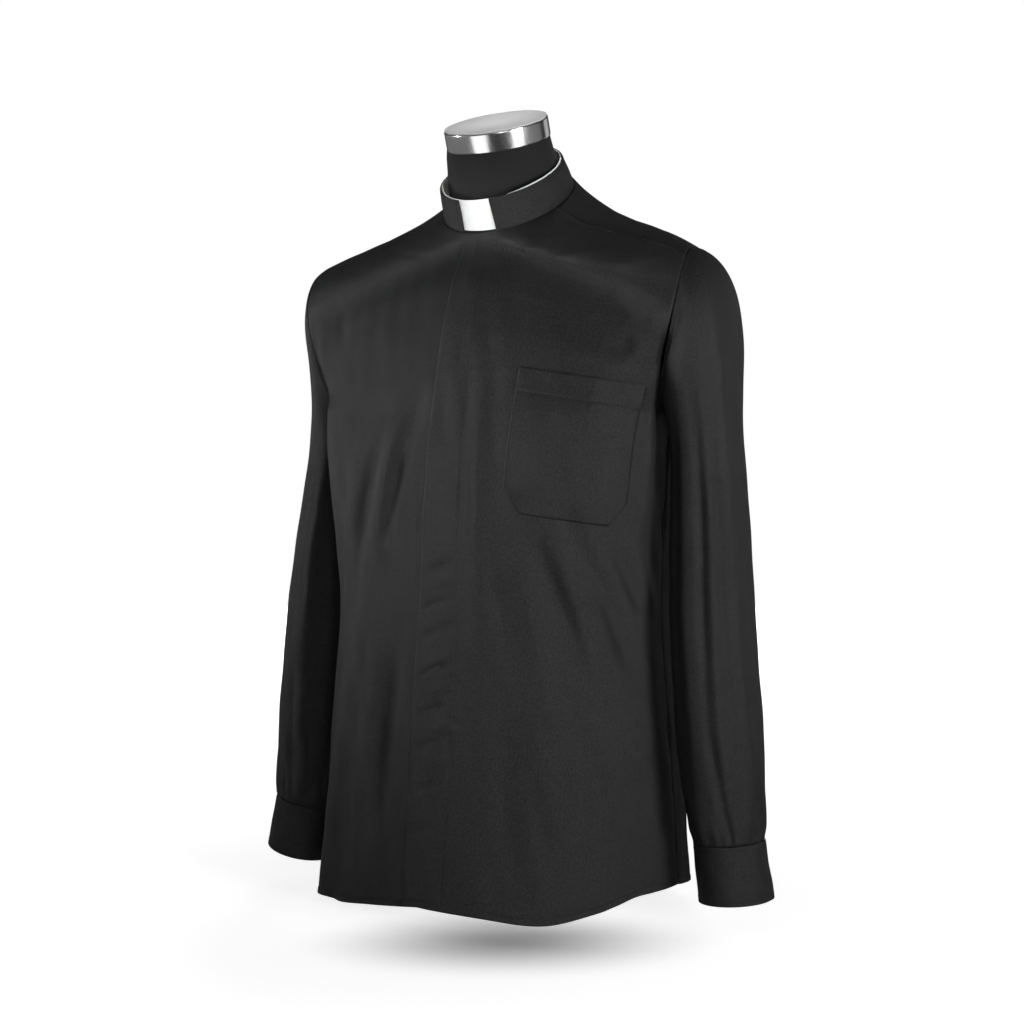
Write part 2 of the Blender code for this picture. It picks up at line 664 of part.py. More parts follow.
def collar_points(up, angle, inset, rise):
    """Points of the collar's ring at an angle from the centre front, inset towards the neck, its top raised."""
    half_width = column(COLLAR_EDGES, "up", "half_width", up) - inset
    half_depth = column(COLLAR_EDGES, "up", "half_depth", up) - inset
    y = column(COLLAR_EDGES, "up", "centre_y", up) - half_depth * np.cos(angle)
    front = column(COLLAR_EDGES, "up", "centre_y", up) - half_depth
    z = column(COLLAR_EDGES, "up", "front_z", up) + column(COLLAR_EDGES, "up", "slope", up) * (y - front)
    return np.stack([half_width * np.sin(angle), y, z + rise * up], -1)


def add_collar_band(finish, collection):
    half_gap = COLLAR_GAP / 2 / COLLAR_EDGES[0].half_width
    angle = spread(half_gap, 2 * math.pi - half_gap, COLLAR_COLUMNS)
    up, angle = np.meshgrid(spread(0, 1, COLLAR_LINES), angle, indexing="ij")
    return add_cloth("collar_band", collar_points(up, angle, 0, 0), finish, collection, STIFF_WALL)


def add_collar_insert(finish, collection):
    angle = spread(0, 2 * math.pi, INSERT_COLUMNS + 1)[:-1]
    up, angle = np.meshgrid(spread(INSERT_LOW, 1, COLLAR_LINES), angle, indexing="ij")
    beside = np.clip((1 - np.cos(angle)) / INSERT_RISE_REACH, 0, 1)
    rise = INSERT_FRONT_RISE + (INSERT_RISE - INSERT_FRONT_RISE) * beside
    points = collar_points(up, angle, INSERT_INSET, rise)
    return add_cloth("collar_insert", points, finish, collection, closed=True)


# Dress form: the shirt's own sections drawn in below the shoulders, a leaning neck and its cap
FormFit = namedtuple("FormFit", "z width depth")
FORM_FIT = [
    FormFit(0.012, 0.58, 0.50),
    FormFit(0.030, 0.70, 0.62),
    FormFit(0.070, 0.80, 0.71),
    FormFit(0.150, 0.86, 0.78),
    FormFit(0.315, 0.85, 0.80),
    FormFit(0.410, 0.89, 0.86),
    FormFit(0.512, 0.93, 0.92),
    FormFit(0.600, 0.965, 0.94),
    FormFit(0.650, 0.985, 0.96),
    FormFit(0.690, 0.990, 0.960),
    FormFit(0.715, 0.990, 0.975),
    FormFit(0.740, 1.0, 1.0),
    FormFit(0.780, 1.0, 1.0),
]
FORM_INSET = WALL / 2 + SEAM_GAP + 0.0002
FORM_LOW_Z = 0.012
FORM_COLUMNS = 10
FORM_BODY_LINES = 12
FORM_CHEST_LINES = 8
NECK_LEAN = math.radians(19.7)
NECK_START = (0.0, 0.0075, 0.7315)
NeckRing = namedtuple("NeckRing", "along half_width half_depth lean")
CAP_BOTTOM_ALONG = 0.0630
NECK_RINGS = [
    NeckRing(-0.0008, 0.0655, 0.0562, 31.0),
    NeckRing(0.0030, 0.0625, 0.0550, 28.0),
    NeckRing(0.0120, 0.0605, 0.0540, 22.0),
    NeckRing(0.0300, 0.0590, 0.0530, 19.7),
    NeckRing(CAP_BOTTOM_ALONG - SEAM_GAP, 0.0560, 0.0515, 19.7),
]
CAP_THICKNESS = 0.0200
CAP_PLATE_THICKNESS = 0.0012
CAP_HALF_WIDTH = 0.0556
CAP_HALF_DEPTH = 0.0525
CAP_ROUNDING = 0.0010
CAP_SEGMENTS = 48
FOOT_HALF_WIDTH = 0.1150
FOOT_HALF_DEPTH = 0.0860


def form_points(rows, body_end, facing, side, places, along):
    """Half panels of the shirt, drawn in to the form's own depth and width, then moved in from the cloth."""
    points, _ = spaced_points(Panel(rows, body_end, facing, side, None, []), places, along)
    if body_end < 1:
        points[..., 2] += FORM_LOW_Z * np.clip(1 - places / body_end, 0, 1)[:, None]
    width = column(FORM_FIT, "z", "width", points[..., 2])
    depth = column(FORM_FIT, "z", "depth", points[..., 2])
    points = points * np.stack([width, depth, np.ones_like(width)], -1)
    points = points - normals_of(points, away_from_axis(points)) * FORM_INSET
    if body_end < 1:
        points[0, :, 2] = FORM_LOW_Z
    return points


def form_places(body_end):
    """Places of the form's lines: as many below the arm in front as behind, so that the side edges meet."""
    return np.append(spread(0, body_end, FORM_BODY_LINES), spread(body_end, 1, FORM_CHEST_LINES + 1)[1:])


def neck_ring(ring, angle):
    """A ring of the neck, square to its own lean, at an angle from the centre front."""
    axis = np.array([0, -math.sin(NECK_LEAN), math.cos(NECK_LEAN)])
    lean = math.radians(ring.lean)
    back = np.array([0, math.cos(lean), math.sin(lean)])
    centre = np.array(NECK_START) + axis * ring.along
    across = np.stack([ring.half_width * np.sin(angle), 0 * angle, 0 * angle], -1)
    return centre + across - ring.half_depth * np.cos(angle)[:, None] * back


def add_grid(build, points):
    """Adds a grid of points to a mesh under construction."""
    corners = [build.verts.new(place) for place in points.reshape(-1, 3).tolist()]
    for face in grid_faces(*points.shape[:2]):
        build.faces.new([corners[index] for index in face])


def add_fan(build, rim, centre):
    """Closes a rim of points with triangles to a centre point."""
    corners = [build.verts.new(place) for place in rim.tolist()]
    middle = build.verts.new(centre)
    for first, second in zip(corners, corners[1:] + corners[:1]):
        if (first.co - second.co).length > MERGE_DISTANCE:
            build.faces.new([first, second, middle])


def add_form_torso(finish, collection):
    """Body, shoulders and neck in one closed surface: the panels' rows moved in, flat arm ends, a flat top."""
    along = spread(0, 1, FORM_COLUMNS)
    front_places = form_places(BODY_END)
    yoke_places = line_places(YOKE_ROWS, YOKE_LINES)
    back_places = form_places(BACK_BODY_END)
    build = bmesh.new()
    for side in (1, -1):
        front = form_points(FRONT_ROWS, BODY_END, -1, side, front_places, along)
        yoke = form_points(YOKE_ROWS, 1.0, 1, side, yoke_places, along)
        back = form_points(BACK_ROWS, BACK_BODY_END, 1, side, back_places, along)
        yoke[0], yoke[-1] = front[-1], back[-1]
        for grid in (front, yoke, back):
            grid[np.abs(grid[:, 0, 0]) < FORM_INSET, 0, 0] = 0
        back[:FORM_BODY_LINES, -1] = front[:FORM_BODY_LINES, -1]
        for grid in (front, yoke, back):
            add_grid(build, grid)
        armpit = FORM_BODY_LINES - 1
        rim = np.concatenate([front[armpit:, -1], yoke[1:-1, -1], back[armpit + 1 :, -1][::-1]])
        add_fan(build, rim, rim.mean(axis=0).tolist())
        on_neck = np.abs(front[:, 0, 0]) > 0
        on_neck[np.flatnonzero(on_neck)[0] - 1] = True
        beside_neck = yoke_places <= YOKE_ROWS[-2].at
        loop = np.concatenate([front[on_neck, 0], yoke[beside_neck, 0][1:]])
        across, ahead = side * loop[:, 0] / NECK_HALF_WIDTH, (NECK_CENTRE_Y - loop[:, 1]) / NECK_HALF_DEPTH
        start = np.arctan2(across, ahead)
        start[0], start[-1] = 0, math.pi
        rings = np.stack([loop] + [neck_ring(ring, start) * [side, 1, 1] for ring in NECK_RINGS])
        rings[:, [0, -1], 0] = 0
        add_grid(build, rings)
        add_half_cap(build, rings[-1])
        bottom = np.concatenate([front[0], back[0][::-1]])
        add_half_cap(build, bottom)
    bmesh.ops.remove_doubles(build, verts=build.verts, dist=MERGE_DISTANCE)
    bmesh.ops.recalc_face_normals(build, faces=build.faces)
    mesh = bpy.data.meshes.new("form_torso")
    build.to_mesh(mesh)
    build.free()
    mesh.materials.append(finish)
    mesh.shade_smooth()
    piece = bpy.data.objects.new("form_torso", mesh)
    collection.objects.link(piece)
    return piece


def add_half_cap(build, rim):
    """Closes half of a ring, from its front on the centre plane to its back, by triangles to a point there."""
    corners = [build.verts.new(place) for place in rim.tolist()]
    middle = build.verts.new(((rim[0] + rim[-1]) / 2).tolist())
    for first, second in zip(corners, corners[1:]):
        if (first.co - second.co).length > MERGE_DISTANCE:
            build.faces.new([first, second, middle])


def add_oval_disc(name, half_width, half_depth, thickness, centre, lean, rounding, finish, collection):
    """A round-edged oval plate or ring body, turned to the neck's lean."""
    mesh = bpy.data.meshes.new(name)
    build = bmesh.new()
    bmesh.ops.create_cone(
        build, cap_ends=True, segments=CAP_SEGMENTS, radius1=half_width, radius2=half_width, depth=thickness
    )
    bmesh.ops.scale(build, vec=(1, half_depth / half_width, 1), verts=build.verts)
    build.to_mesh(mesh)
    build.free()
    mesh.materials.append(finish)
    mesh.shade_smooth()
    mesh.set_sharp_from_angle(angle=math.radians(40))
    piece = bpy.data.objects.new(name, mesh)
    piece.location = centre
    piece.rotation_euler = (lean, 0, 0)
    collection.objects.link(piece)
    if rounding:
        edge = piece.modifiers.new("Round edges", "BEVEL")
        edge.width = rounding
        edge.segments = 2
        edge.limit_method = "ANGLE"
    return piece


def on_neck_axis(along):
    return (
        NECK_START[0],
        NECK_START[1] - math.sin(NECK_LEAN) * along,
        NECK_START[2] + math.cos(NECK_LEAN) * along,
    )


def add_form_ends(chrome, plate, collection):
    middle = CAP_BOTTOM_ALONG + CAP_THICKNESS / 2
    add_oval_disc(
        "form_neck_cap", CAP_HALF_WIDTH, CAP_HALF_DEPTH, CAP_THICKNESS, on_neck_axis(middle), NECK_LEAN,
        CAP_ROUNDING, chrome, collection,
    )
    top = CAP_BOTTOM_ALONG + CAP_THICKNESS + SEAM_GAP + CAP_PLATE_THICKNESS / 2
    add_oval_disc(
        "form_cap_top", CAP_HALF_WIDTH - CAP_ROUNDING, CAP_HALF_DEPTH - CAP_ROUNDING, CAP_PLATE_THICKNESS,
        on_neck_axis(top), NECK_LEAN, 0, plate, collection,
    )
    thickness = FORM_LOW_Z - SEAM_GAP
    add_oval_disc(
        "form_base", FOOT_HALF_WIDTH, FOOT_HALF_DEPTH, thickness, (0, 0, thickness / 2), 0,
        0, plate, collection,
    )


def main():
    for thing in list(bpy.data.objects):
        bpy.data.objects.remove(thing, do_unlink=True)
    shirt = bpy.data.collections.new("Clergy shirt on dress form")
    bpy.context.scene.collection.children.link(shirt)
    black_cloth = material("Black cloth", (0.018, 0.018, 0.019), 0.62)
    white_cloth = material("White collar", (0.86, 0.86, 0.85), 0.45)
    button_finish = material("Black button", (0.015, 0.015, 0.015), 0.30)
    jersey = material("Black jersey", (0.020, 0.020, 0.021), 0.80)
    chrome = material("Polished metal", (0.80, 0.80, 0.80), 0.15, 1.0)
    plate = material("Grey plate", (0.60, 0.60, 0.60), 0.55)
    add_front("front_left", 1, black_cloth, shirt)
    add_front("front_right", -1, black_cloth, shirt)
    add_back(black_cloth, shirt)
    add_yoke(black_cloth, shirt)
    for name, side in (("left", 1), ("right", -1)):
        add_sleeve(f"sleeve_{name}", side, black_cloth, shirt)
        add_cuff(f"cuff_{name}", side, black_cloth, shirt)
        add_sleeve_placket(f"sleeve_placket_{name}", side, black_cloth, shirt)
        add_cuff_button(f"cuff_button_{name}", side, button_finish, shirt)
    add_fly(black_cloth, shirt)
    add_pocket(black_cloth, shirt)
    add_collar_band(black_cloth, shirt)
    add_collar_insert(white_cloth, shirt)
    add_form_torso(jersey, shirt)
    add_form_ends(chrome, plate, shirt)


main()
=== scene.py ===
# %% [markdown]
# # A black clergy shirt on a dress form
#
# The shirt is sewn from flat pieces of fine black cloth: two fronts, a back, a yoke, sleeves, cuffs and a band
# collar with a white inner collar. It hangs on a padded form without arms, whose neck ends in a polished cap.
# The solid model that comes first has the right sizes and plain walls. This script gives each piece its cloth,
# creases, seams and stitches. Metres, +Z up; the front faces -Y and the wearer's left is +X.

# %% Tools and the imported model
import math
from collections import namedtuple

import bmesh
import bpy
import numpy as np
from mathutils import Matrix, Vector


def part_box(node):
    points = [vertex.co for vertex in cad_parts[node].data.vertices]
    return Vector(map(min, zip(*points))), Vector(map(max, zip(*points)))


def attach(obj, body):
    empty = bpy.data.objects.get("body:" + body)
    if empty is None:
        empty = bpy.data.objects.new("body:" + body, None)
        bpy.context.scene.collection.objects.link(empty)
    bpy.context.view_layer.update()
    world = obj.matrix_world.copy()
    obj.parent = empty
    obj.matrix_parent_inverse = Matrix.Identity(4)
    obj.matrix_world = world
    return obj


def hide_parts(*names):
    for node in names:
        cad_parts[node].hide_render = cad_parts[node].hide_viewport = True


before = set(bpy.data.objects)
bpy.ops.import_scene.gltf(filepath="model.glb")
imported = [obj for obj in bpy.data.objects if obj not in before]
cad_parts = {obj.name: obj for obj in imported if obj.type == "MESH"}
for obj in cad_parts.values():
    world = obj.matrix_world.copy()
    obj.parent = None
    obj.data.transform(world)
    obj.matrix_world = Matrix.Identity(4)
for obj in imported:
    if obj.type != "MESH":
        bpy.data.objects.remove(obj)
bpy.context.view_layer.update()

# %% [markdown]
# ## Writing shaders as sums
#
# A material is a graph of nodes. Drawn by hand it is easy to read, but in a script each node takes five lines.
# A small class that wraps one socket and overloads + - * / lets a weave be written as the formula that it is.

# %% A socket that does arithmetic
class Wire:
    """One output of a shader node. Arithmetic on it adds Math nodes to the same material."""

    def __init__(self, tree, socket=None):
        self.tree = tree
        self.socket = socket

    def node(self, kind, settings=None, inputs=None, output=0):
        """Any node: its settings first, then its sockets, by name or number, as values or as wires."""
        made = self.tree.nodes.new(kind)
        for name, value in (settings or {}).items():
            if name == "stops":
                for stop, (place, shade) in zip(made.color_ramp.elements, value):
                    stop.position, stop.color = place, (shade, shade, shade, 1)
            else:
                setattr(made, name, value)
        for name, value in (inputs or {}).items():
            if isinstance(value, Wire):
                self.tree.links.new(value.socket, made.inputs[name])
            else:
                made.inputs[name].default_value = value
        return Wire(self.tree, made.outputs[output])

    def math(self, operation, *values):
        return self.node("ShaderNodeMath", {"operation": operation}, dict(enumerate(values)))

    def __add__(self, other):
        return self.math("ADD", self, other)

    def __sub__(self, other):
        return self.math("SUBTRACT", self, other)

    def __rsub__(self, other):
        return self.math("SUBTRACT", other, self)

    def __mul__(self, other):
        return self.math("MULTIPLY", self, other)

    __radd__ = __add__
    __rmul__ = __mul__

    def sine(self):
        return self.math("SINE", self)

    def part(self, axis):
        """One axis of a vector: 0, 1 or 2."""
        return self.node("ShaderNodeSeparateXYZ", inputs={0: self}, output=axis)

    def between(self, low, high):
        """0 below low, 1 above high, and a soft step in between."""
        settings = {"interpolation_type": "SMOOTHSTEP"}
        return self.node("ShaderNodeMapRange", settings, {"Value": self, "From Min": low, "From Max": high})

    def noise(self, scale, detail=2.0, stretch=(1, 1, 1)):
        """Soft random values from 0 to 1 at this point, stretched along the axes."""
        placed = self.node("ShaderNodeMapping", inputs={"Vector": self, "Scale": stretch})
        return self.node("ShaderNodeTexNoise", inputs={"Vector": placed, "Scale": scale, "Detail": detail})

    def shade(self, dark, light):
        """A colour between two others, by this value."""
        return self.node("ShaderNodeMix", {"data_type": "RGBA"}, {0: self, 6: (*dark, 1), 7: (*light, 1)}, 2)


def new_finish(name, constants):
    """A material with its shader's constant values set. Returns the material and a wire to start from."""
    made = bpy.data.materials.new(name)
    made.use_nodes = True
    shader = made.node_tree.nodes["Principled BSDF"]
    for socket, value in constants.items():
        shader.inputs[socket].default_value = value
    return made, Wire(made.node_tree)


def connect(finish, colour, roughness=None, height=None, depth=0.0):
    """Leads the varying values to the shader: colour, roughness and a height that becomes a bump."""
    tree = finish.node_tree
    shader = tree.nodes["Principled BSDF"]
    for socket, wire in (("Base Color", colour), ("Roughness", roughness)):
        if wire is not None:
            tree.links.new(wire.socket, shader.inputs[socket])
    if height is not None:
        bump = height.node("ShaderNodeBump", inputs={"Height": height, "Distance": depth, "Strength": 1.0})
        tree.links.new(bump.socket, shader.inputs["Normal"])


# %% [markdown]
# ## The cloth
#
# The real cloth is a smooth, closely woven cotton blend. Two crossing sets of threads make a tiny checker of
# ups and downs, some threads are a little thicker than others, and the surface has a soft sheen. A picture of
# cloth would do the same from afar, but a formula on each piece's own map follows the grain of every piece and
# stays sharp close up. The map of each piece is in metres, so one thread pitch serves them all.

# %% Black cloth
TURN = 2 * math.pi
THREAD_PITCH = 0.00062
WHITE_PITCH = 0.0008
SLUB_SIZE = 0.004
SLUB_SQUEEZE = 0.06
SLUB_SHIFT = 0.3
MOTTLE_SCALE = 9.0
GRAIN_SCALE = 700.0


def woven(start, pitch):
    """Height of a plain weave: the product of two waves across the map, broken by thick and thin threads."""
    place = start.node("ShaderNodeTexCoord", output=2)
    across, up = place.part(0), place.part(1)
    slub_across = place.noise(1 / SLUB_SIZE, 1.0, (1, SLUB_SQUEEZE, 1)) - 0.5
    slub_up = place.noise(1 / SLUB_SIZE, 1.0, (SLUB_SQUEEZE, 1, 1)) - 0.5
    warp = ((across + slub_across * (SLUB_SHIFT * pitch)) * (TURN / pitch)).sine()
    weft = ((up + slub_up * (SLUB_SHIFT * pitch)) * (TURN / pitch)).sine()
    return warp * weft * 0.5 + (slub_across + slub_up) * 0.9


def cloth_finish(name, dark, light, pitch, roughness, sheen, depth):
    """Woven cloth: colour and bump follow the threads, all three a fine grain, and colour and roughness a slow mottle
    of wear.
    """
    finish, start = new_finish(
        name,
        {
            "Sheen Weight": sheen, "Sheen Roughness": 0.40, "Sheen Tint": (1.0, 1.0, 1.0, 1),
            "Specular IOR Level": 0.22,
        },
    )
    threads = woven(start, pitch)
    spot = start.node("ShaderNodeTexCoord", output=3)
    mottle = spot.noise(MOTTLE_SCALE, 3.0)
    grain = spot.noise(GRAIN_SCALE, 2.0, (1, 1, 0.7)) - 0.5
    colour = (threads * 0.16 + grain * 2.0 + mottle * 0.30 + 0.35).shade(dark, light)
    connect(finish, colour, mottle * 0.10 + grain * 0.30 + roughness, threads + grain * 1.2, depth)
    return finish


BLACK_DARK, BLACK_LIGHT = (0.0045, 0.0045, 0.0046), (0.0270, 0.0270, 0.0274)
black_cloth = cloth_finish("Black cloth", BLACK_DARK, BLACK_LIGHT, THREAD_PITCH, 0.43, 0.02, 0.00012)
WHITE_DARK, WHITE_LIGHT = (0.80, 0.80, 0.795), (0.90, 0.90, 0.895)
white_cloth = cloth_finish("White collar cloth", WHITE_DARK, WHITE_LIGHT, WHITE_PITCH, 0.40, 0.05, 0.00003)
print("cloth", black_cloth.name, len(black_cloth.node_tree.nodes), "nodes")

# %% [markdown]
# ## Thread, button, jersey and metal
#
# Sewing thread is rounder than the cloth round it and has a soft shine. The form is covered in knitted jersey, whose
# loops stand in fine upright columns. The cap is brushed metal, with faint upright scratches that
# blur what it mirrors, and its plate and the foot are matte.

# %% Small finishes
THREAD_TWIST = 0.0007
FORM_RADIUS = 0.058
WALE_PITCH = 0.0016
COURSE_PITCH = 0.0013
SCRATCH_SCALE = 700.0
SCRATCH_SQUEEZE = 0.02


def thread_finish():
    finish, start = new_finish("Black thread", {"Roughness": 0.55, "Specular IOR Level": 0.2})
    spot = start.node("ShaderNodeTexCoord", output=3)
    twist = ((spot.part(0) + spot.part(1) + spot.part(2)) * (TURN / THREAD_TWIST)).sine()
    connect(finish, (twist * 0.3 + 0.5).shade((0.005, 0.005, 0.006), (0.014, 0.014, 0.015)), None, twist, 0.00004)
    return finish


def jersey_finish():
    """Knit: upright columns by the angle round the body, and rows by height."""
    constants = {"Sheen Weight": 0.04, "Sheen Roughness": 0.6, "Specular IOR Level": 0.3}
    finish, start = new_finish("Black jersey", constants)
    spot = start.node("ShaderNodeTexCoord", output=3)
    turn = start.math("ARCTAN2", spot.part(0), spot.part(1))
    wales = (turn * (TURN * FORM_RADIUS / WALE_PITCH)).sine()
    rows = (spot.part(2) * (TURN / COURSE_PITCH)).sine()
    knit = wales * (rows * 0.35 + 0.65)
    cloud = spot.noise(14.0, 3.0)
    colour = (knit * 0.20 + cloud * 0.5 + 0.25).shade((0.004, 0.004, 0.005), (0.013, 0.013, 0.014))
    connect(finish, colour, cloud * 0.1 + 0.78, knit, 0.00008)
    return finish


def brushed_finish():
    """Metal with fine upright scratches: noise squeezed round the cap and drawn out along it."""
    finish, start = new_finish("Brushed metal", {"Metallic": 1.0, "Anisotropic": 0.3})
    spot = start.node("ShaderNodeTexCoord", output=3)
    scratch = spot.noise(SCRATCH_SCALE, 2.0, (1, 1, SCRATCH_SQUEEZE))
    cloud = spot.noise(30.0, 2.0, (1, 1, 0.2))
    connect(finish, (scratch * 0.5 + cloud * 0.4).shade((0.70, 0.70, 0.705), (0.95, 0.95, 0.95)),
            scratch * 0.12 + cloud * 0.06 + 0.10, scratch, 0.00002)
    return finish


def matte_finish(name, dark, light, roughness):
    finish, start = new_finish(name, {"Specular IOR Level": 0.4})
    spot = start.node("ShaderNodeTexCoord", output=3)
    grain, cloud = spot.noise(1500.0, 2.0), spot.noise(20.0, 3.0)
    connect(finish, (grain * 0.3 + cloud * 0.6).shade(dark, light), cloud * 0.1 + roughness, grain, 0.00003)
    return finish


black_thread = thread_finish()
jersey = jersey_finish()
brushed_metal = brushed_finish()
cap_plate = matte_finish("Grey plate", (0.62, 0.62, 0.62), (0.74, 0.74, 0.74), 0.45)
button_gloss = matte_finish("Black button", (0.008, 0.008, 0.009), (0.022, 0.022, 0.023), 0.18)

# %% [markdown]
# ## Smooth curves from short tables
#
# Tailors write a pattern as a few measured places with a smooth line through them. The same is done here. A
# spline could overshoot between two places, so the slopes are limited, as a curve drawn with a stiff ruler.

# %% Reading a table smoothly
SMALL = 1e-9


def curve_through(xs, ys, x):
    """Cubic pieces through the points (xs, ys), with each slope the weighted harmonic mean of its neighbours."""
    xs, ys = np.asarray(xs, float), np.asarray(ys, float)
    steps = np.diff(xs)
    rises = np.diff(ys) / steps
    slopes = np.empty_like(ys)
    slopes[0], slopes[-1] = rises[0], rises[-1]
    same_way = rises[:-1] * rises[1:] > 0
    weights = 2 * steps[1:] + steps[:-1], steps[1:] + 2 * steps[:-1]
    safe = np.where(same_way, rises[:-1], 1), np.where(same_way, rises[1:], 1)
    mean = (weights[0] + weights[1]) / (weights[0] / safe[0] + weights[1] / safe[1])
    slopes[1:-1] = np.where(same_way, mean, 0)
    x = np.clip(np.asarray(x, float), xs[0], xs[-1])
    k = np.clip(np.searchsorted(xs, x, side="right") - 1, 0, len(xs) - 2)
    t = (x - xs[k]) / steps[k]
    start, end = ys[k], ys[k + 1]
    lead, trail = slopes[k] * steps[k], slopes[k + 1] * steps[k]
    bend = lead * t * (1 - t) ** 2 - trail * t**2 * (1 - t)
    return start * (1 + 2 * t) * (1 - t) ** 2 + end * t**2 * (3 - 2 * t) + bend


def column(table, key, field, x):
    """One column of a table, read smoothly at x along its key column."""
    return curve_through([getattr(row, key) for row in table], [getattr(row, field) for row in table], x)


def soft_step(t):
    """0 before 0, 1 after 1, and 3t^2 - 2t^3 between."""
    t = np.clip(t, 0, 1)
    return t * t * (3 - 2 * t)


def unit(vectors):
    return vectors / np.maximum(np.linalg.norm(vectors, axis=-1, keepdims=True), SMALL)


# %% [markdown]
# ## The shape of the body
#
# These are the sizes of the worn shirt, the same as the solid model's: half widths and depths at several
# heights, the tilted oval of the neckline and the oval of the armhole. Each panel is a set of rows
# from the hem up. A row runs from the centre line, or from the neckline, to the side seam or the armhole.

# %% Body sizes
WALL = 0.0012
STIFF_WALL = 0.0016
Section = namedtuple("Section", "z half_width front back square")
SHIRT_SECTIONS = [
    Section(0.000, 0.2020, 0.1760, 0.1640, 0.560),
    Section(0.030, 0.2000, 0.1715, 0.1610, 0.560),
    Section(0.170, 0.1920, 0.1560, 0.1470, 0.580),
    Section(0.315, 0.1810, 0.1410, 0.1320, 0.610),
    Section(0.410, 0.1850, 0.1335, 0.1290, 0.720),
    Section(0.485, 0.1890, 0.1215, 0.1290, 0.820),
    Section(0.512, 0.1905, 0.1150, 0.1285, 0.830),
    Section(0.584, 0.1905, 0.0975, 0.1230, 0.760),
    Section(0.642, 0.1905, 0.0775, 0.1100, 0.600),
    Section(0.6935, 0.1905, 0.0535, 0.0950, 0.560),
    Section(0.730, 0.1905, 0.0535, 0.0820, 0.560),
    Section(0.7698, 0.1905, 0.0535, 0.0685, 0.560),
]
ARMPIT_Z = 0.512
NECK_HALF_WIDTH = 0.0705
NECK_HALF_DEPTH = 0.0610
NECK_CENTRE_Y = 0.0075
NECK_FRONT_Z = 0.6935
NECK_SLOPE = 0.6254
ARMHOLE_MID_Z = 0.5895
ARMHOLE_HALF_HEIGHT = 0.0775
ARMHOLE_FRONT = 0.052
ARMHOLE_BACK = 0.058
ArmholeReach = namedtuple("ArmholeReach", "z x")
ARMHOLE_REACH = [
    ArmholeReach(0.512, 0.1905),
    ArmholeReach(0.530, 0.1960),
    ArmholeReach(0.555, 0.2030),
    ArmholeReach(0.580, 0.2100),
    ArmholeReach(0.605, 0.2160),
    ArmholeReach(0.630, 0.2205),
    ArmholeReach(0.650, 0.2210),
    ArmholeReach(0.667, 0.2175),
]
Row = namedtuple("Row", "at centre_z neck_deg arm_deg flat")
FRONT_ROWS = [
    Row(0.00, 0.000, 0, 0, 0.00),
    Row(0.66, ARMPIT_Z, 0, 0, 0.00),
    Row(0.80, 0.600, 0, 55, 0.12),
    Row(0.92, NECK_FRONT_Z, 0, 105, 0.45),
    Row(1.00, NECK_FRONT_Z, 72, 150, 0.90),
]
YOKE_ROWS = [
    Row(0.00, NECK_FRONT_Z, 72, 150, 0.90),
    Row(0.22, 0.7698, 97, 180, 1.00),
    Row(0.45, 0.7698, 140, 196, 1.00),
    Row(0.62, 0.7698, 180, 204, 0.95),
    Row(1.00, 0.6720, 180, 218, 0.75),
]
BACK_ROWS = [
    Row(0.00, 0.000, 180, 360, 0.00),
    Row(0.70, ARMPIT_Z, 180, 360, 0.00),
    Row(0.86, 0.600, 180, 300, 0.25),
    Row(1.00, 0.6720, 180, 218, 0.75),
]
BODY_END = 0.66
BACK_BODY_END = 0.70
SHOULDER_HOLLOW = 0.20
BESIDE_NECK = 0.6
SMALL_ANGLE = 1e-6
Hem = namedtuple("Hem", "along left right back_left back_right")
HEM = [
    Hem(0.00, 0.0215, 0.0215, 0.0060, 0.0060),
    Hem(0.20, 0.0165, 0.0150, 0.0060, 0.0060),
    Hem(0.40, 0.0105, 0.0075, 0.0085, 0.0065),
    Hem(0.60, 0.0200, 0.0050, 0.0150, 0.0075),
    Hem(0.80, 0.0320, 0.0060, 0.0250, 0.0095),
    Hem(1.00, 0.0325, 0.0120, 0.0325, 0.0120),
]


# %% Neckline, armhole and rows
def neckline(angle):
    """A tilted oval: half width times sine across, half depth times cosine forward, rising with the slope."""
    x = NECK_HALF_WIDTH * np.sin(angle)
    y = NECK_CENTRE_Y - NECK_HALF_DEPTH * np.cos(angle)
    return np.stack([x, y, NECK_FRONT_Z + NECK_SLOPE * (y - NECK_CENTRE_Y + NECK_HALF_DEPTH)], -1)


def armhole(angle):
    """An oval seen from the side, by angle from its lowest point. How far out it lies follows its height."""
    depth = np.where(np.sin(angle) > 0, ARMHOLE_FRONT, ARMHOLE_BACK)
    z = ARMHOLE_MID_Z - ARMHOLE_HALF_HEIGHT * np.cos(angle)
    return np.stack([column(ARMHOLE_REACH, "z", "x", z), -depth * np.sin(angle), z], -1)


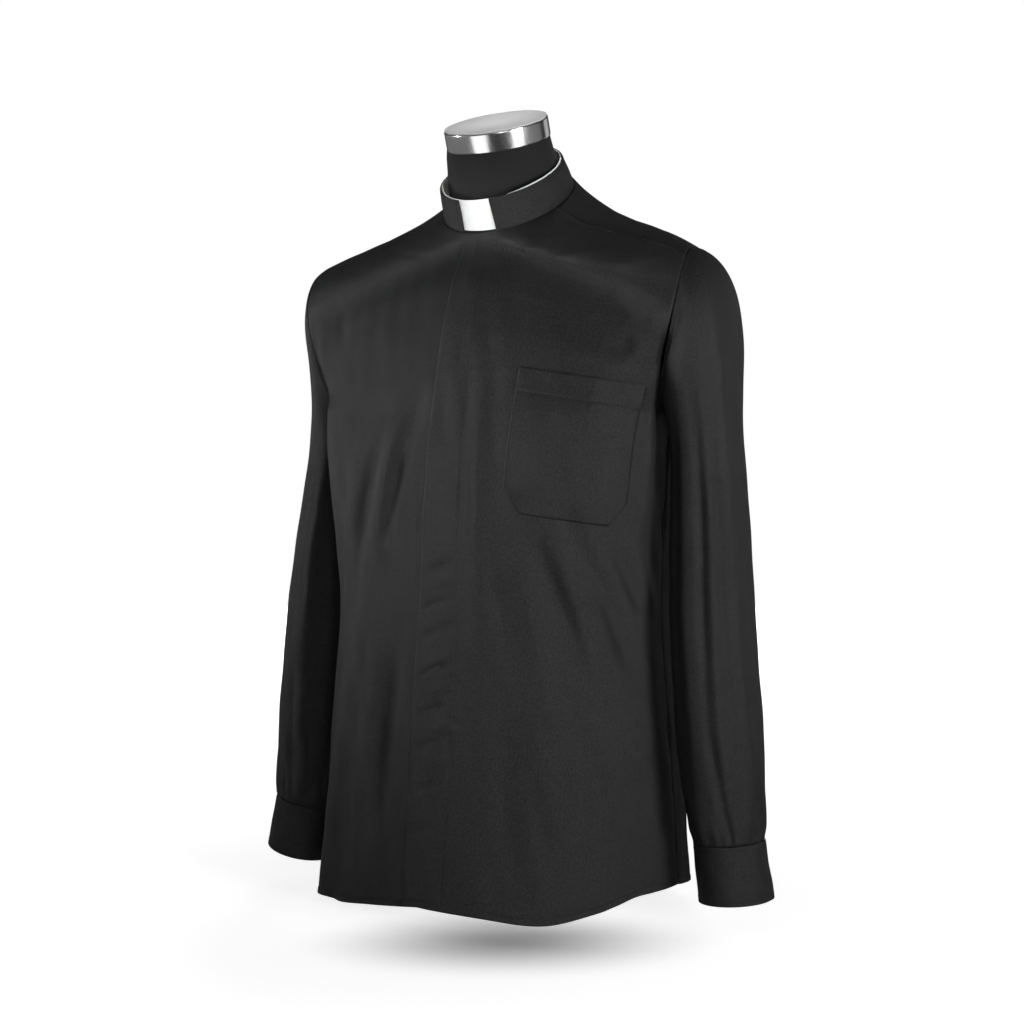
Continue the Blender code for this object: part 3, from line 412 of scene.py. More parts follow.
def row_ends(rows, facing, at, lift):
    """The four control points of each row: a quarter of a squarish oval below the arm, nearly straight above."""
    centre_z = column(rows, "at", "centre_z", at)
    neck = np.radians(column(rows, "at", "neck_deg", at))
    arm = np.radians(column(rows, "at", "arm_deg", at))
    flat = column(rows, "at", "flat", at)
    height = centre_z + lift
    on_neck = ((neck > SMALL_ANGLE) & (neck < math.pi - SMALL_ANGLE))[..., None]
    depth = column(SHIRT_SECTIONS, "z", "front" if facing < 0 else "back", height)
    centre = np.stack([np.zeros_like(height), facing * depth, height], -1)
    inner = np.where(on_neck, neckline(neck), centre)
    below_arm = (np.abs(np.sin(arm)) < SMALL_ANGLE)[..., None] & (np.cos(arm) > 0)[..., None]
    side = np.stack([column(SHIRT_SECTIONS, "z", "half_width", height), np.zeros_like(height), height], -1)
    outer = np.where(below_arm, side, armhole(arm))
    square = column(SHIRT_SECTIONS, "z", "square", height)
    run = square + (1 / 3 - square) * flat
    beside_neck = soft_step(np.sin(neck) / BESIDE_NECK) if facing > 0 else 1.0
    near = inner + (outer - inner) * np.stack([run, beside_neck * flat / 3, 1 / 3 + SHOULDER_HOLLOW * flat], -1)
    far = outer + (inner - outer) * np.stack([flat / 3, run, np.full_like(run, 1 / 3)], -1)
    return inner, near, far, outer


Cut = namedtuple("Cut", "points normals lengths rise")
FINE_STEPS = 300


def cut_of(rows, body_end, facing, hem, lines, columns):
    """A fine grid of one half panel, evenly spaced along each row by its length, with normals and row lengths."""
    at = np.linspace(0, 1, lines)
    places, t = np.meshgrid(at, np.linspace(0, 1, FINE_STEPS), indexing="ij")
    lift = (column(HEM, "along", hem, t) if hem else 0) * np.clip(1 - places / body_end, 0, 1)
    a, b, c, d = row_ends(rows, facing, places, lift)
    t = t[..., None]
    dense = a * (1 - t) ** 3 + 3 * b * t * (1 - t) ** 2 + 3 * c * t**2 * (1 - t) + d * t**3
    runs = np.cumsum(np.linalg.norm(np.diff(dense, axis=1), axis=2), axis=1)
    runs = np.concatenate([np.zeros((lines, 1)), runs], axis=1)
    share = np.linspace(0, 1, columns)
    points = np.empty((lines, columns, 3))
    for line in range(lines):
        for axis in range(3):
            points[line, :, axis] = np.interp(share * runs[line, -1], runs[line], dense[line, :, axis])
    outward = np.concatenate([points[..., :2], 2 * np.clip(points[..., 2:] - ARMPIT_Z, 0, None)], axis=-1)
    normals = normals_of(points, outward)
    rise = np.linalg.norm(np.diff(points, axis=0), axis=2).mean(axis=1)
    return Cut(points, normals, runs[:, -1], np.concatenate([[0], np.cumsum(rise)]))


def normals_of(points, outward):
    """Unit cross products of the two directions of a grid, turned to the side of the vectors outward."""
    normals = unit(np.cross(np.gradient(points, axis=0), np.gradient(points, axis=1)))
    return normals * np.where((normals * outward).sum(-1, keepdims=True) < 0, -1, 1)


def on_grid(grid, line, place):
    """Values of a grid between its lines and columns, by weighing the four nearest ones."""
    lines, columns = grid.shape[:2]
    i = np.clip(np.floor(line).astype(int), 0, lines - 2)
    j = np.clip(np.floor(place).astype(int), 0, columns - 2)
    a, b = (line - i)[..., None], (place - j)[..., None]
    low = grid[i, j] * (1 - b) + grid[i, j + 1] * b
    high = grid[i + 1, j] * (1 - b) + grid[i + 1, j + 1] * b
    return low * (1 - a) + high * a


def on_cut(cut, side, line, along):
    """Place and normal on a half panel at a line and a distance along the cloth, past the middle below 0."""
    reach = np.interp(line, np.arange(len(cut.lengths)), cut.lengths)
    place = np.abs(along) / reach * (cut.points.shape[1] - 1)
    across = np.stack([np.where(along < 0, -side, side), np.ones_like(along), np.ones_like(along)], -1)
    return on_grid(cut.points, line, place) * across, on_grid(cut.normals, line, place) * across


FRONT_LINES = 260
CUT_COLUMNS = 150
BACK_LINES = 200
YOKE_LINES = 90
YOKE_COLUMNS = 70
CHEST_LINE = 150
left_cut = cut_of(FRONT_ROWS, BODY_END, -1, "left", FRONT_LINES, CUT_COLUMNS)
right_cut = cut_of(FRONT_ROWS, BODY_END, -1, "right", FRONT_LINES, CUT_COLUMNS)
back_left_cut = cut_of(BACK_ROWS, BACK_BODY_END, 1, "back_left", BACK_LINES, CUT_COLUMNS)
back_right_cut = cut_of(BACK_ROWS, BACK_BODY_END, 1, "back_right", BACK_LINES, CUT_COLUMNS)
yoke_cut = cut_of(YOKE_ROWS, 1.0, 1, None, YOKE_LINES, YOKE_COLUMNS)
print("front length", round(left_cut.rise[-1], 3), "m, half chest", round(left_cut.lengths[CHEST_LINE], 3), "m")

# %% [markdown]
# ## Folds
#
# A shirt on a form hangs in a few long soft folds: down from the chest, and aslant from the pocket towards
# the hip. A simulation would find folds of its own. These are placed where the real shirt has them,
# each one a ridge or a trough along a line, with a rounded cross-section that fades out at both ends.
# A second wave beside it, lower and of the other sign, keeps it from looking like a pipe laid on the cloth.

# %% Folds as a table
Fold = namedtuple("Fold", "low_along low_z high_along high_z width height")
FRONT_FOLDS = [
    Fold(0.058, 0.220, 0.031, 0.540, 0.014, 0.0036),
    Fold(0.031, 0.390, 0.019, 0.550, 0.008, -0.0021),
    Fold(0.228, 0.235, 0.126, 0.425, 0.014, -0.0060),
    Fold(0.224, 0.310, 0.170, 0.405, 0.012, -0.0052),
    Fold(0.166, 0.230, 0.096, 0.420, 0.015, -0.0040),
    Fold(0.186, 0.550, 0.219, 0.615, 0.011, 0.0033),
    Fold(-0.205, -0.150, -0.070, 0.430, 0.017, 0.0072),
    Fold(-0.066, 0.070, -0.043, 0.310, 0.015, -0.0085),
    Fold(-0.044, 0.065, -0.022, 0.150, 0.008, -0.0030),
    Fold(-0.117, 0.310, -0.079, 0.495, 0.011, -0.0048),
    Fold(-0.075, 0.350, -0.063, 0.530, 0.009, 0.0027),
    Fold(-0.065, 0.370, -0.031, 0.540, 0.010, -0.0047),
]
FINE_FRONT_FOLDS = [
    Fold(0.226, 0.330, 0.222, 0.580, 0.015, 0.0040),
    Fold(-0.060, 0.020, -0.052, 0.260, 0.020, -0.0033),
    Fold(-0.088, 0.080, -0.070, 0.330, 0.010, 0.0024),
    Fold(-0.118, 0.360, -0.098, 0.500, 0.012, 0.0021),
    Fold(0.196, 0.200, 0.112, 0.395, 0.010, 0.0024),
    Fold(0.245, 0.300, 0.196, 0.402, 0.010, 0.0023),
    Fold(0.130, 0.200, 0.086, 0.380, 0.010, 0.0018),
    Fold(0.150, 0.040, 0.120, 0.240, 0.022, 0.0024),
    Fold(0.090, 0.020, 0.080, 0.260, 0.016, -0.0018),
    Fold(0.235, 0.030, 0.200, 0.200, 0.018, -0.0024),
    Fold(0.205, 0.540, 0.232, 0.600, 0.006, -0.0018),
    Fold(0.168, 0.575, 0.212, 0.632, 0.010, 0.0014),
    Fold(0.226, 0.420, 0.222, 0.530, 0.008, 0.0018),
    Fold(-0.026, 0.370, -0.021, 0.480, 0.006, -0.0015),
    Fold(-0.050, 0.380, -0.044, 0.500, 0.006, 0.0012),
    Fold(-0.142, -0.020, -0.104, 0.330, 0.015, -0.0051),
    Fold(-0.090, 0.010, -0.078, 0.170, 0.012, 0.0018),
    Fold(-0.160, 0.300, -0.130, 0.460, 0.012, -0.0021),
    Fold(-0.190, 0.540, -0.214, 0.610, 0.011, 0.0021),
    Fold(-0.150, 0.560, -0.196, 0.640, 0.010, -0.0015),
]
BACK_FOLDS = [
    Fold(0.118, -0.120, 0.084, 0.610, 0.021, 0.0046),
    Fold(-0.108, -0.060, -0.092, 0.580, 0.020, 0.0040),
    Fold(0.026, 0.020, 0.008, 0.520, 0.018, -0.0034),
    Fold(-0.040, -0.080, -0.052, 0.430, 0.017, -0.0036),
    Fold(0.214, 0.240, 0.136, 0.430, 0.016, -0.0040),
    Fold(-0.222, 0.200, -0.150, 0.380, 0.017, -0.0036),
]
FINE_BACK_FOLDS = [
    Fold(0.150, 0.060, 0.112, 0.420, 0.012, -0.0018),
    Fold(0.064, 0.180, 0.050, 0.560, 0.010, 0.0014),
    Fold(-0.070, 0.200, -0.062, 0.560, 0.010, -0.0014),
    Fold(-0.140, 0.020, -0.126, 0.360, 0.013, 0.0015),
    Fold(0.190, 0.220, 0.120, 0.390, 0.010, 0.0014),
    Fold(-0.196, 0.180, -0.126, 0.350, 0.010, 0.0014),
    Fold(0.190, 0.540, 0.150, 0.630, 0.011, -0.0012),
    Fold(-0.190, 0.530, -0.146, 0.620, 0.011, -0.0013),
    Fold(0.006, 0.560, 0.004, 0.660, 0.010, 0.0010),
]
BESIDE_SHARE = 0.22
BESIDE_PLACE = 2.1
FOLD_ARCH = 0.8
SLACK_HEIGHT = 0.00016
SLACK_WAVES = [(0.061, 0.173, 0.3), (0.037, 0.091, 1.7), (0.083, -0.059, 2.9), (0.029, 0.121, 4.1)]


def fold_height(folds, along, z):
    """Sum over the folds of height times a bell across it times an arch along it, less a low bell on each side."""
    total = np.zeros_like(along)
    for fold in folds:
        t = (z - fold.low_z) / (fold.high_z - fold.low_z)
        middle = fold.low_along + (fold.high_along - fold.low_along) * t
        away = (along - middle) / fold.width
        bell = np.exp(-(away**2))
        beside = np.exp(-((np.abs(away) - BESIDE_PLACE) ** 2))
        total += fold.height * np.sin(math.pi * np.clip(t, 0, 1)) ** FOLD_ARCH * (bell - BESIDE_SHARE * beside)
    return total


def slack(along, z):
    """Slow unevenness of a worn cloth: four crossing waves of unlike lengths, a sixth of a millimetre each."""
    return sum(SLACK_HEIGHT * np.sin(TURN * (along / wide + z / tall) + start) for wide, tall, start in SLACK_WAVES)


# %% [markdown]
# ## Sheets of cloth as meshes
#
# Each piece is a grid of points with a map in metres. The wall comes from a Solidify modifier, centred on the
# grid, so that the cloth has an inner side and a cut edge. Grids could be turned into faces one by one in a
# loop; doing it on whole arrays keeps a quarter of a million faces down to a fraction of a second.
#
# The shirt doesn't sit quite evenly. One shoulder is a little higher, and the upper sleeve below it hangs
# nearer the body. Each panel could be redrawn for that. One function that shifts every piece, seam and stitch
# in the same way is shorter, and nothing comes apart at a seam.

# %% Grid to mesh
RIM_ANGLE = math.radians(50)


def grid_faces(lines, columns, start=0):
    """Four corners of each cell of a grid whose points are numbered line by line."""
    index = np.arange(lines * columns).reshape(lines, columns) + start
    return np.stack([index[:-1, :-1], index[:-1, 1:], index[1:, 1:], index[1:, :-1]], -1).reshape(-1, 4)


def mesh_of(name, points, faces, uv=None, outward=None):
    """A mesh from point and face arrays, turned so that its faces look along outward, with its map."""
    points, faces = np.asarray(points, float).reshape(-1, 3), np.asarray(faces)
    if outward is not None:
        edge = points[faces]
        normal = np.cross(edge[:, 1] - edge[:, 0], edge[:, 3] - edge[:, 0])
        if (normal * outward.reshape(-1, 3)[faces[:, 0]]).sum() < 0:
            faces = faces[:, ::-1]
    mesh = bpy.data.meshes.new(name)
    mesh.from_pydata(points.tolist(), [], faces.tolist())
    if uv is not None:
        layer = mesh.uv_layers.new(name="Cloth map")
        layer.data.foreach_set("uv", np.asarray(uv, float).reshape(-1, 2)[faces.reshape(-1)].ravel())
    mesh.shade_smooth()
    return mesh


def mend(mesh, merge=0.0, thin=False, turn=True):
    """Merges points closer than merge, drops faces thinner than that where asked, and turns faces outwards."""
    work = bmesh.new()
    work.from_mesh(mesh)
    if merge:
        bmesh.ops.remove_doubles(work, verts=work.verts, dist=merge)
    if thin:
        bmesh.ops.dissolve_degenerate(work, edges=work.edges, dist=merge)
    if turn:
        bmesh.ops.recalc_face_normals(work, faces=work.faces)
    work.to_mesh(mesh)
    work.free()


def piece_of(name, mesh, finish, replaces=(), wall=0.0, rounding=0.0):
    """An object of the shirt: finish, wall, place in the frame and the solids that it stands for."""
    piece = bpy.data.objects.new(name, mesh)
    bpy.context.scene.collection.objects.link(piece)
    mesh.materials.append(finish)
    if wall:
        shell = piece.modifiers.new("Wall", "SOLIDIFY")
        shell.thickness, shell.offset, shell.use_even_offset = wall, 0, False
    if rounding:
        edges = piece.modifiers.new("Soft edges", "BEVEL")
        edges.width, edges.segments, edges.limit_method = rounding, 2, "ANGLE"
        edges.angle_limit = RIM_ANGLE
    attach(piece, "root")
    if replaces:
        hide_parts(*replaces)
    return piece


SHOULDER_UP = 0.0085
SHOULDER_FROM_X, SHOULDER_OVER_X = 0.09, 0.11
SHOULDER_FROM_Z, SHOULDER_OVER_Z = 0.60, 0.06
SLEEVE_IN = 0.0035
SLEEVE_FROM_X, SLEEVE_OVER_X = 0.20, 0.05
SLEEVE_IN_Z, SLEEVE_IN_REACH = 0.545, 0.085


def worn(points):
    """The shirt as it sits: the wearer's left shoulder a little higher, and that upper sleeve nearer the body.

    The lift is a soft step outwards times a soft step upwards. The shift is a bell by height for what is far out.
    """
    points = np.asarray(points, float)
    x, y, z = points[..., 0], points[..., 1], points[..., 2]
    lift = SHOULDER_UP * soft_step((x - SHOULDER_FROM_X) / SHOULDER_OVER_X)
    lift = lift * soft_step((z - SHOULDER_FROM_Z) / SHOULDER_OVER_Z)
    shift = SLEEVE_IN * soft_step((x - SLEEVE_FROM_X) / SLEEVE_OVER_X)
    shift = shift * np.exp(-(((z - SLEEVE_IN_Z) / SLEEVE_IN_REACH) ** 2))
    return np.stack([x - shift, y, z + lift], -1)


def cloth(name, points, normals, uv, replaces, finish=black_cloth, wall=WALL, rounding=0.0):
    """One sheet of cloth on a grid."""
    points = worn(points)
    mesh = mesh_of(name, points, grid_faces(*points.shape[:2]), uv, normals)
    piece = piece_of(name, mesh, finish, replaces, wall, rounding)
    print(f"{name}: {len(mesh.polygons)} faces, {area_of(points):.3f} square metres")
    return piece


def area_of(points):
    """Sum over the cells of half the cross product of their diagonals."""
    first, second = points[1:, 1:] - points[:-1, :-1], points[1:, :-1] - points[:-1, 1:]
    return 0.5 * np.linalg.norm(np.cross(first, second), axis=-1).sum()


# %% [markdown]
# ## Stitches
#
# A row of machine stitches is a line of short thread loops that dive into the cloth and pull it down a little.
# A painted dashed line has no shadow. Here each stitch is a tiny bent bar of four sides, and all the stitches
# of a shirt are one mesh, made as one array: every stitch is the same ring of points moved to its place.

# %% Rows of stitches
STITCH_PITCH = 0.0030
STITCH_LENGTH = 0.0022
THREAD_RADIUS = 0.00020
STITCH_SIDES = 4
STITCH_PLACES = np.array([-0.5, -0.3, 0.0, 0.3, 0.5])
STITCH_RISES = np.array([-0.9, 0.35, 0.8, 0.35, -0.9])
STITCH_WIDTHS = np.array([0.5, 1.0, 1.0, 1.0, 0.5])
STITCH_RINGS = len(STITCH_PLACES)
stitch_parts = []


def stitch_row(points, normals, lift=WALL / 2, pitch=STITCH_PITCH):
    """Bars along a path: rings of four points at five places of each stitch, thin and low at its two ends."""
    points = worn(points)
    steps = np.linalg.norm(np.diff(points, axis=0), axis=1)
    run = np.concatenate([[0], np.cumsum(steps)])
    count = int(run[-1] / pitch)
    if count < 2:
        return
    along = (np.arange(count)[:, None] + 0.5) * run[-1] / count
    high, thick = STITCH_RISES * THREAD_RADIUS, STITCH_WIDTHS * THREAD_RADIUS
    place = along + STITCH_PLACES * STITCH_LENGTH
    centre = np.stack([np.interp(place, run, points[:, axis]) for axis in range(3)], -1)
    up = unit(np.stack([np.interp(place, run, normals[:, axis]) for axis in range(3)], -1))
    ahead = unit(np.gradient(centre, axis=1))
    side = unit(np.cross(up, ahead))
    centre = centre + up * (lift + high[None, :, None])
    turn = np.arange(STITCH_SIDES) * math.pi / 2
    ring = side[:, :, None, :] * np.cos(turn)[:, None] + up[:, :, None, :] * np.sin(turn)[:, None]
    stitch_parts.append(centre[:, :, None, :] + ring * thick[None, :, None, None])


def sewn(name):
    """All stitches so far as one mesh: for each one the sides between its rings and a square at each end."""
    bars = np.concatenate(stitch_parts)
    stitch_parts.clear()
    count = len(bars)
    ring = np.arange(STITCH_SIDES)
    after = (ring + 1) % STITCH_SIDES
    starts = STITCH_SIDES * np.arange(STITCH_RINGS)
    sides = [np.stack([a + ring, a + after, b + after, b + ring], -1) for a, b in zip(starts, starts[1:])]
    one = np.concatenate([*sides, [ring[::-1]], [starts[-1] + ring]])
    faces = (one[None] + STITCH_SIDES * STITCH_RINGS * np.arange(count)[:, None, None]).reshape(-1, 4)
    mesh = mesh_of(name, bars.reshape(-1, 3), faces)
    mend(mesh)
    print(name, count, "stitches")
    return piece_of(name, mesh, black_thread)


# %% [markdown]
# ## The fronts and the hidden button placket
#
# The wearer's left front is cut wider and folded back on itself, so that a flap covers the shirt's buttons.
# What shows is a free edge just past the middle, a flat strip about 36 mm wide and one long row of stitches.
# The strip could be a separate band, but on the real shirt it is the same cloth, so here the left front simply
# goes on past the middle, stands one layer higher there and sinks to the panel at the stitches.
# Between them the sewing has drawn up a few short puckers.

# %% The placket's lines
PlacketLine = namedtuple("PlacketLine", "z edge stitch")
PLACKET = [
    PlacketLine(0.000, -0.0186, 0.0235),
    PlacketLine(0.030, -0.0186, 0.0240),
    PlacketLine(0.140, -0.0166, 0.0262),
    PlacketLine(0.275, -0.0182, 0.0260),
    PlacketLine(0.360, -0.0170, 0.0245),
    PlacketLine(0.475, -0.0183, 0.0215),
    PlacketLine(0.572, -0.0190, 0.0178),
    PlacketLine(0.640, -0.0192, 0.0168),
    PlacketLine(0.700, -0.0190, 0.0165),
]
PLACKET_LIFT = 0.0017
PLACKET_SINKS_FROM = 0.012
PLACKET_SINKS_OVER = 0.045
EDGE_ROLL = 0.0004
EDGE_ROLL_WIDTH = 0.0030
GROOVE = 0.0004
GROOVE_WIDTH = 0.0012
GROOVE_FADES_AT, GROOVE_FADES_OVER = 0.56, 0.16
GROOVE_LEFT = 0.2
PUCKER_STRENGTH = 1.3
Pucker = namedtuple("Pucker", "along z half_length half_width tilt height")
PUCKERS = [
    Pucker(0.006, 0.3557, 0.0130, 0.0055, 0.34, -0.0014),
    Pucker(0.012, 0.3430, 0.0090, 0.0042, 0.10, 0.0012),
    Pucker(0.002, 0.3190, 0.0140, 0.0044, 0.30, -0.0019),
    Pucker(0.014, 0.3060, 0.0080, 0.0046, 0.20, 0.0012),
    Pucker(-0.004, 0.2880, 0.0100, 0.0050, 0.38, -0.0012),
    Pucker(0.004, 0.2527, 0.0160, 0.0055, 0.42, -0.0025),
    Pucker(0.014, 0.2380, 0.0100, 0.0050, 0.24, 0.0016),
    Pucker(0.003, 0.2138, 0.0140, 0.0046, 0.32, -0.0023),
    Pucker(0.016, 0.1990, 0.0080, 0.0048, 0.10, 0.0014),
    Pucker(0.000, 0.1788, 0.0150, 0.0050, 0.36, -0.0019),
    Pucker(0.013, 0.1640, 0.0090, 0.0050, 0.14, 0.0010),
    Pucker(0.004, 0.1400, 0.0120, 0.0055, 0.28, -0.0012),
    Pucker(0.002, 0.0960, 0.0110, 0.0060, 0.20, -0.0009),
    Pucker(0.028, 0.2440, 0.0070, 0.0040, -0.50, -0.0010),
    Pucker(0.028, 0.2050, 0.0070, 0.0036, -0.50, -0.0010),
    Pucker(0.027, 0.3350, 0.0070, 0.0040, -0.50, -0.0007),
    Pucker(-0.006, 0.4300, 0.0100, 0.0060, 0.20, -0.0007),
    Pucker(0.004, 0.4850, 0.0120, 0.0080, 0.20, -0.0006),
]


def pucker_height(puckers, along, z):
    """Sum of small slanting hollows: height times a bell along the pucker times a bell across it."""
    total = np.zeros_like(along)
    for p in puckers:
        ahead = (along - p.along) / p.half_length
        across = ((z - p.z) - p.tilt * (along - p.along)) / p.half_width
        total += PUCKER_STRENGTH * p.height * np.exp(-(ahead**2) - across**2)
    return total


def placket_lift(along, z):
    """One layer up from the free edge to the stitches, rolled down at the edge, with a groove at the stitches."""
    edge, stitch = column(PLACKET, "z", "edge", z), column(PLACKET, "z", "stitch", z)
    layer = PLACKET_LIFT * (1 - soft_step((along - PLACKET_SINKS_FROM) / PLACKET_SINKS_OVER))
    roll = EDGE_ROLL * (1 - soft_step((along - edge) / EDGE_ROLL_WIDTH))
    pull = GROOVE * (GROOVE_LEFT + (1 - GROOVE_LEFT) * soft_step((GROOVE_FADES_AT - z) / GROOVE_FADES_OVER))
    return layer - roll - pull * np.exp(-(((along - stitch) / GROOVE_WIDTH) ** 2))


HEM_BAND = 0.0065
HEM_STEP = 0.0005
HEM_SOFT = 0.0008
HEM_GROOVE = 0.0003
HEM_DENSE_TO = 0.010
HEM_DENSE_LINES = 10
SEAM_DEPTH = 0.0005


def hem_band(height):
    """The turned-up hem: a second layer below the stitches, and a groove along them, by height above the edge."""
    band = HEM_STEP * (1 - soft_step((height - HEM_BAND + HEM_SOFT) / (2 * HEM_SOFT)))
    return band - HEM_GROOVE * np.exp(-(((height - HEM_BAND) / GROOVE_WIDTH) ** 2))


def front_relief(along, x, z, placket):
    """Folds by distance along the cloth; the placket and its puckers by distance from the middle line."""
    relief = fold_height(FRONT_FOLDS + FINE_FRONT_FOLDS, along, z) + slack(along, z)
    if placket:
        relief = relief + placket_lift(x, z) + pucker_height(PUCKERS, x, z)
    return relief


def line_steps(lines, count, cut):
    """Lines of a panel for its mesh: close together in the hem band, then even."""
    hem_lines = np.interp(np.linspace(0, HEM_DENSE_TO, HEM_DENSE_LINES), cut.rise, np.arange(lines))
    return np.concatenate([hem_lines, np.linspace(hem_lines[-1], lines - 1, count)[1:]])


def front_at(line, along, side, placket=False):
    """Place, normal and height above the hem edge on a front, with folds, at a line and a distance along it."""
    cut = left_cut if side > 0 else right_cut
    points, normals = on_cut(cut, side, line, along)
    above = np.interp(line, np.arange(len(cut.rise)), cut.rise)
    relief = front_relief(side * along, points[..., 0], points[..., 2], placket) + hem_band(above)
    return points + normals * relief[..., None], normals, above


def seam_dip(distance):
    """Cloth drawn in at a seam: half a millimetre down, gone after two."""
    return -SEAM_DEPTH * np.exp(-((distance / GROOVE_WIDTH) ** 2))


# %% Left front with its placket
FRONT_MESH_LINES = 215
LEFT_COLUMNS = 84
PLACKET_COLUMNS = 44
PLACKET_TO = 0.036
NECKLINE_FROM = 0.92


def front_columns(line, reach, edge, dense_end, dense, count):
    """Distances of a line's points from the middle: close together in the placket, then even to the side seam.

    Lines that start on the neckline have no part past the middle, so they start at 0.
    """
    edge = np.where(line / (FRONT_LINES - 1) > NECKLINE_FROM, 0, edge)
    first = edge[:, None] + (dense_end - edge[:, None]) * np.linspace(0, 1, dense)[None]
    rest = dense_end + (reach[:, None] - dense_end) * np.linspace(0, 1, count)[None, 1:]
    return np.concatenate([first, rest], axis=1)


line = line_steps(FRONT_LINES, FRONT_MESH_LINES, left_cut)
reach = np.interp(line, np.arange(FRONT_LINES), left_cut.lengths)
centre_z = on_grid(left_cut.points, line, 0 * line)[:, 2]
edge = column(PLACKET, "z", "edge", centre_z)
along = front_columns(line, reach, edge, PLACKET_TO, PLACKET_COLUMNS, LEFT_COLUMNS)
line_2d = line[:, None] + 0 * along
points, normals, above = front_at(line_2d, along, 1, placket=True)
points += normals * seam_dip(reach[:, None] - along)[..., None]
uv = np.stack([along, above], -1)
front_left = cloth("front_left_with_placket", points, normals, uv, ["front_left", "fly_placket"])

# %% Right front
UNDER_EDGE = -0.0100
UNDER_TO = 0.0300
UNDER_COLUMNS = 20
RIGHT_COLUMNS = 70
along = front_columns(line, reach, np.full_like(reach, UNDER_EDGE), UNDER_TO, UNDER_COLUMNS, RIGHT_COLUMNS)
points, normals, above = front_at(line_2d[:, : along.shape[1]], along, -1)
points += normals * seam_dip(reach[:, None] - along)[..., None]
front_right = cloth("front_right_under_placket", points, normals, np.stack([-along, above], -1), ["front_right"])


# %% Stitches of the fronts
PLACKET_ROW_TOP = 0.917
PLACKET_ROW_POINTS = 500
HEM_ROW_FROM = {1: -0.017, -1: 0.021}
HEM_ROW_POINTS = 300


def front_row(side, line, along, placket=False):
    """A stitch row on a front through places given by line and distance along the cloth."""
    points, normals, _ = front_at(np.asarray(line, float), np.asarray(along, float), side, placket)
    stitch_row(points, normals)


steps = np.linspace(0.5, FRONT_LINES * PLACKET_ROW_TOP, PLACKET_ROW_POINTS)
z_of_step = on_grid(left_cut.points, steps, 0 * steps)[:, 2]
front_row(1, steps, column(PLACKET, "z", "stitch", z_of_step), True)
for side, cut in ((1, left_cut), (-1, right_cut)):
    hem_line = np.interp(HEM_BAND, cut.rise, np.arange(FRONT_LINES))
    span = np.linspace(HEM_ROW_FROM[side], cut.lengths[0] - 0.001, HEM_ROW_POINTS)
    front_row(side, np.full(HEM_ROW_POINTS, hem_line), span, side > 0)

# %% [markdown]
# ## The chest pocket
#
# The patch pocket is a flat piece with a wide hem at its mouth and two cut-off lower corners, sewn on close to
# its edge. It lies on the front's own folds, so its points are the front's points moved out by one layer. Its mouth
# stands off a little more, as cloth does where nothing holds it down.

# %% Pocket
POCKET_TOP_WIDTH = 0.1335
POCKET_LOW_WIDTH = 0.1290
POCKET_HEIGHT = 0.1420
POCKET_MITRE = 0.0240
POCKET_CORNER_ALONG = 0.0750
POCKET_CORNER_Z = 0.5560
POCKET_TOP_TURN = math.radians(8.0)
POCKET_SIDE_TURN = math.radians(3.2)
POCKET_HEM = 0.024
POCKET_STAND = 0.0014
POCKET_LINES = 60
POCKET_COLUMNS = 61
MITRE_SLOPE = 0.85
MOUTH_STAND, MOUTH_REACH = 0.0007, 0.020
PUFF, PUFF_REACH = 0.0003, 0.012
CLOSING_ROUNDS = 20
LONGEST_STEP = 20
LEAST_RISE = 0.0008


def line_at(along, z):
    """The line of the left front that has height z at a distance along it, by closing in on it."""
    line = np.full(along.shape, 0.6 * FRONT_LINES)
    for _ in range(CLOSING_ROUNDS):
        here, _ = on_cut(left_cut, 1, line, along)
        ahead, _ = on_cut(left_cut, 1, line + 1, along)
        step = (z - here[..., 2]) / np.maximum(ahead[..., 2] - here[..., 2], LEAST_RISE)
        line = np.clip(line + np.clip(step, -LONGEST_STEP, LONGEST_STEP), 0, FRONT_LINES - 2.001)
    return line


def pocket_place(down, across):
    """Distance along the front and height of a pocket point, given its share down and its share across."""
    depth = POCKET_HEIGHT * down
    half = (POCKET_TOP_WIDTH + (POCKET_LOW_WIDTH - POCKET_TOP_WIDTH) * down) / 2
    half_here = half - MITRE_SLOPE * np.clip(depth - POCKET_HEIGHT + POCKET_MITRE, 0, None)
    level = POCKET_TOP_WIDTH / 2 + (2 * across - 1) * half_here
    along = POCKET_CORNER_ALONG + level * math.cos(POCKET_TOP_TURN) - depth * math.sin(POCKET_SIDE_TURN)
    return along, POCKET_CORNER_Z - level * math.sin(POCKET_TOP_TURN) - depth * math.cos(POCKET_SIDE_TURN)


def pocket_points(down, across, stand):
    along, z = pocket_place(down, across)
    points, normals, _ = front_at(line_at(along, z), along, 1)
    return points + normals * np.asarray(stand)[..., None], normals


mitre_at = 1 - POCKET_MITRE / POCKET_HEIGHT
hem_at = POCKET_HEM / POCKET_HEIGHT
near_hem = hem_at + np.linspace(-0.012, 0.012, 7)
down = np.unique(np.concatenate([np.linspace(0, 1, POCKET_LINES), [mitre_at], near_hem]))
down, across = np.meshgrid(down, np.linspace(0, 1, POCKET_COLUMNS), indexing="ij")
edge_distance = np.minimum(np.minimum(across, 1 - across) * POCKET_TOP_WIDTH, (1 - down) * POCKET_HEIGHT)
mouth = np.exp(-((down * POCKET_HEIGHT / MOUTH_REACH) ** 2)) * np.sin(math.pi * across) ** 0.7
hem_layer = HEM_STEP * (1 - soft_step((down - hem_at + 0.004) / 0.008))
groove = -HEM_GROOVE * np.exp(-((((down - hem_at) * POCKET_HEIGHT) / GROOVE_WIDTH) ** 2))
puff = PUFF * soft_step(edge_distance / PUFF_REACH)
stand = POCKET_STAND + hem_layer + groove + puff + MOUTH_STAND * mouth
points, normals = pocket_points(down, across, stand)
uv = np.stack([across * POCKET_TOP_WIDTH, -down * POCKET_HEIGHT], -1)
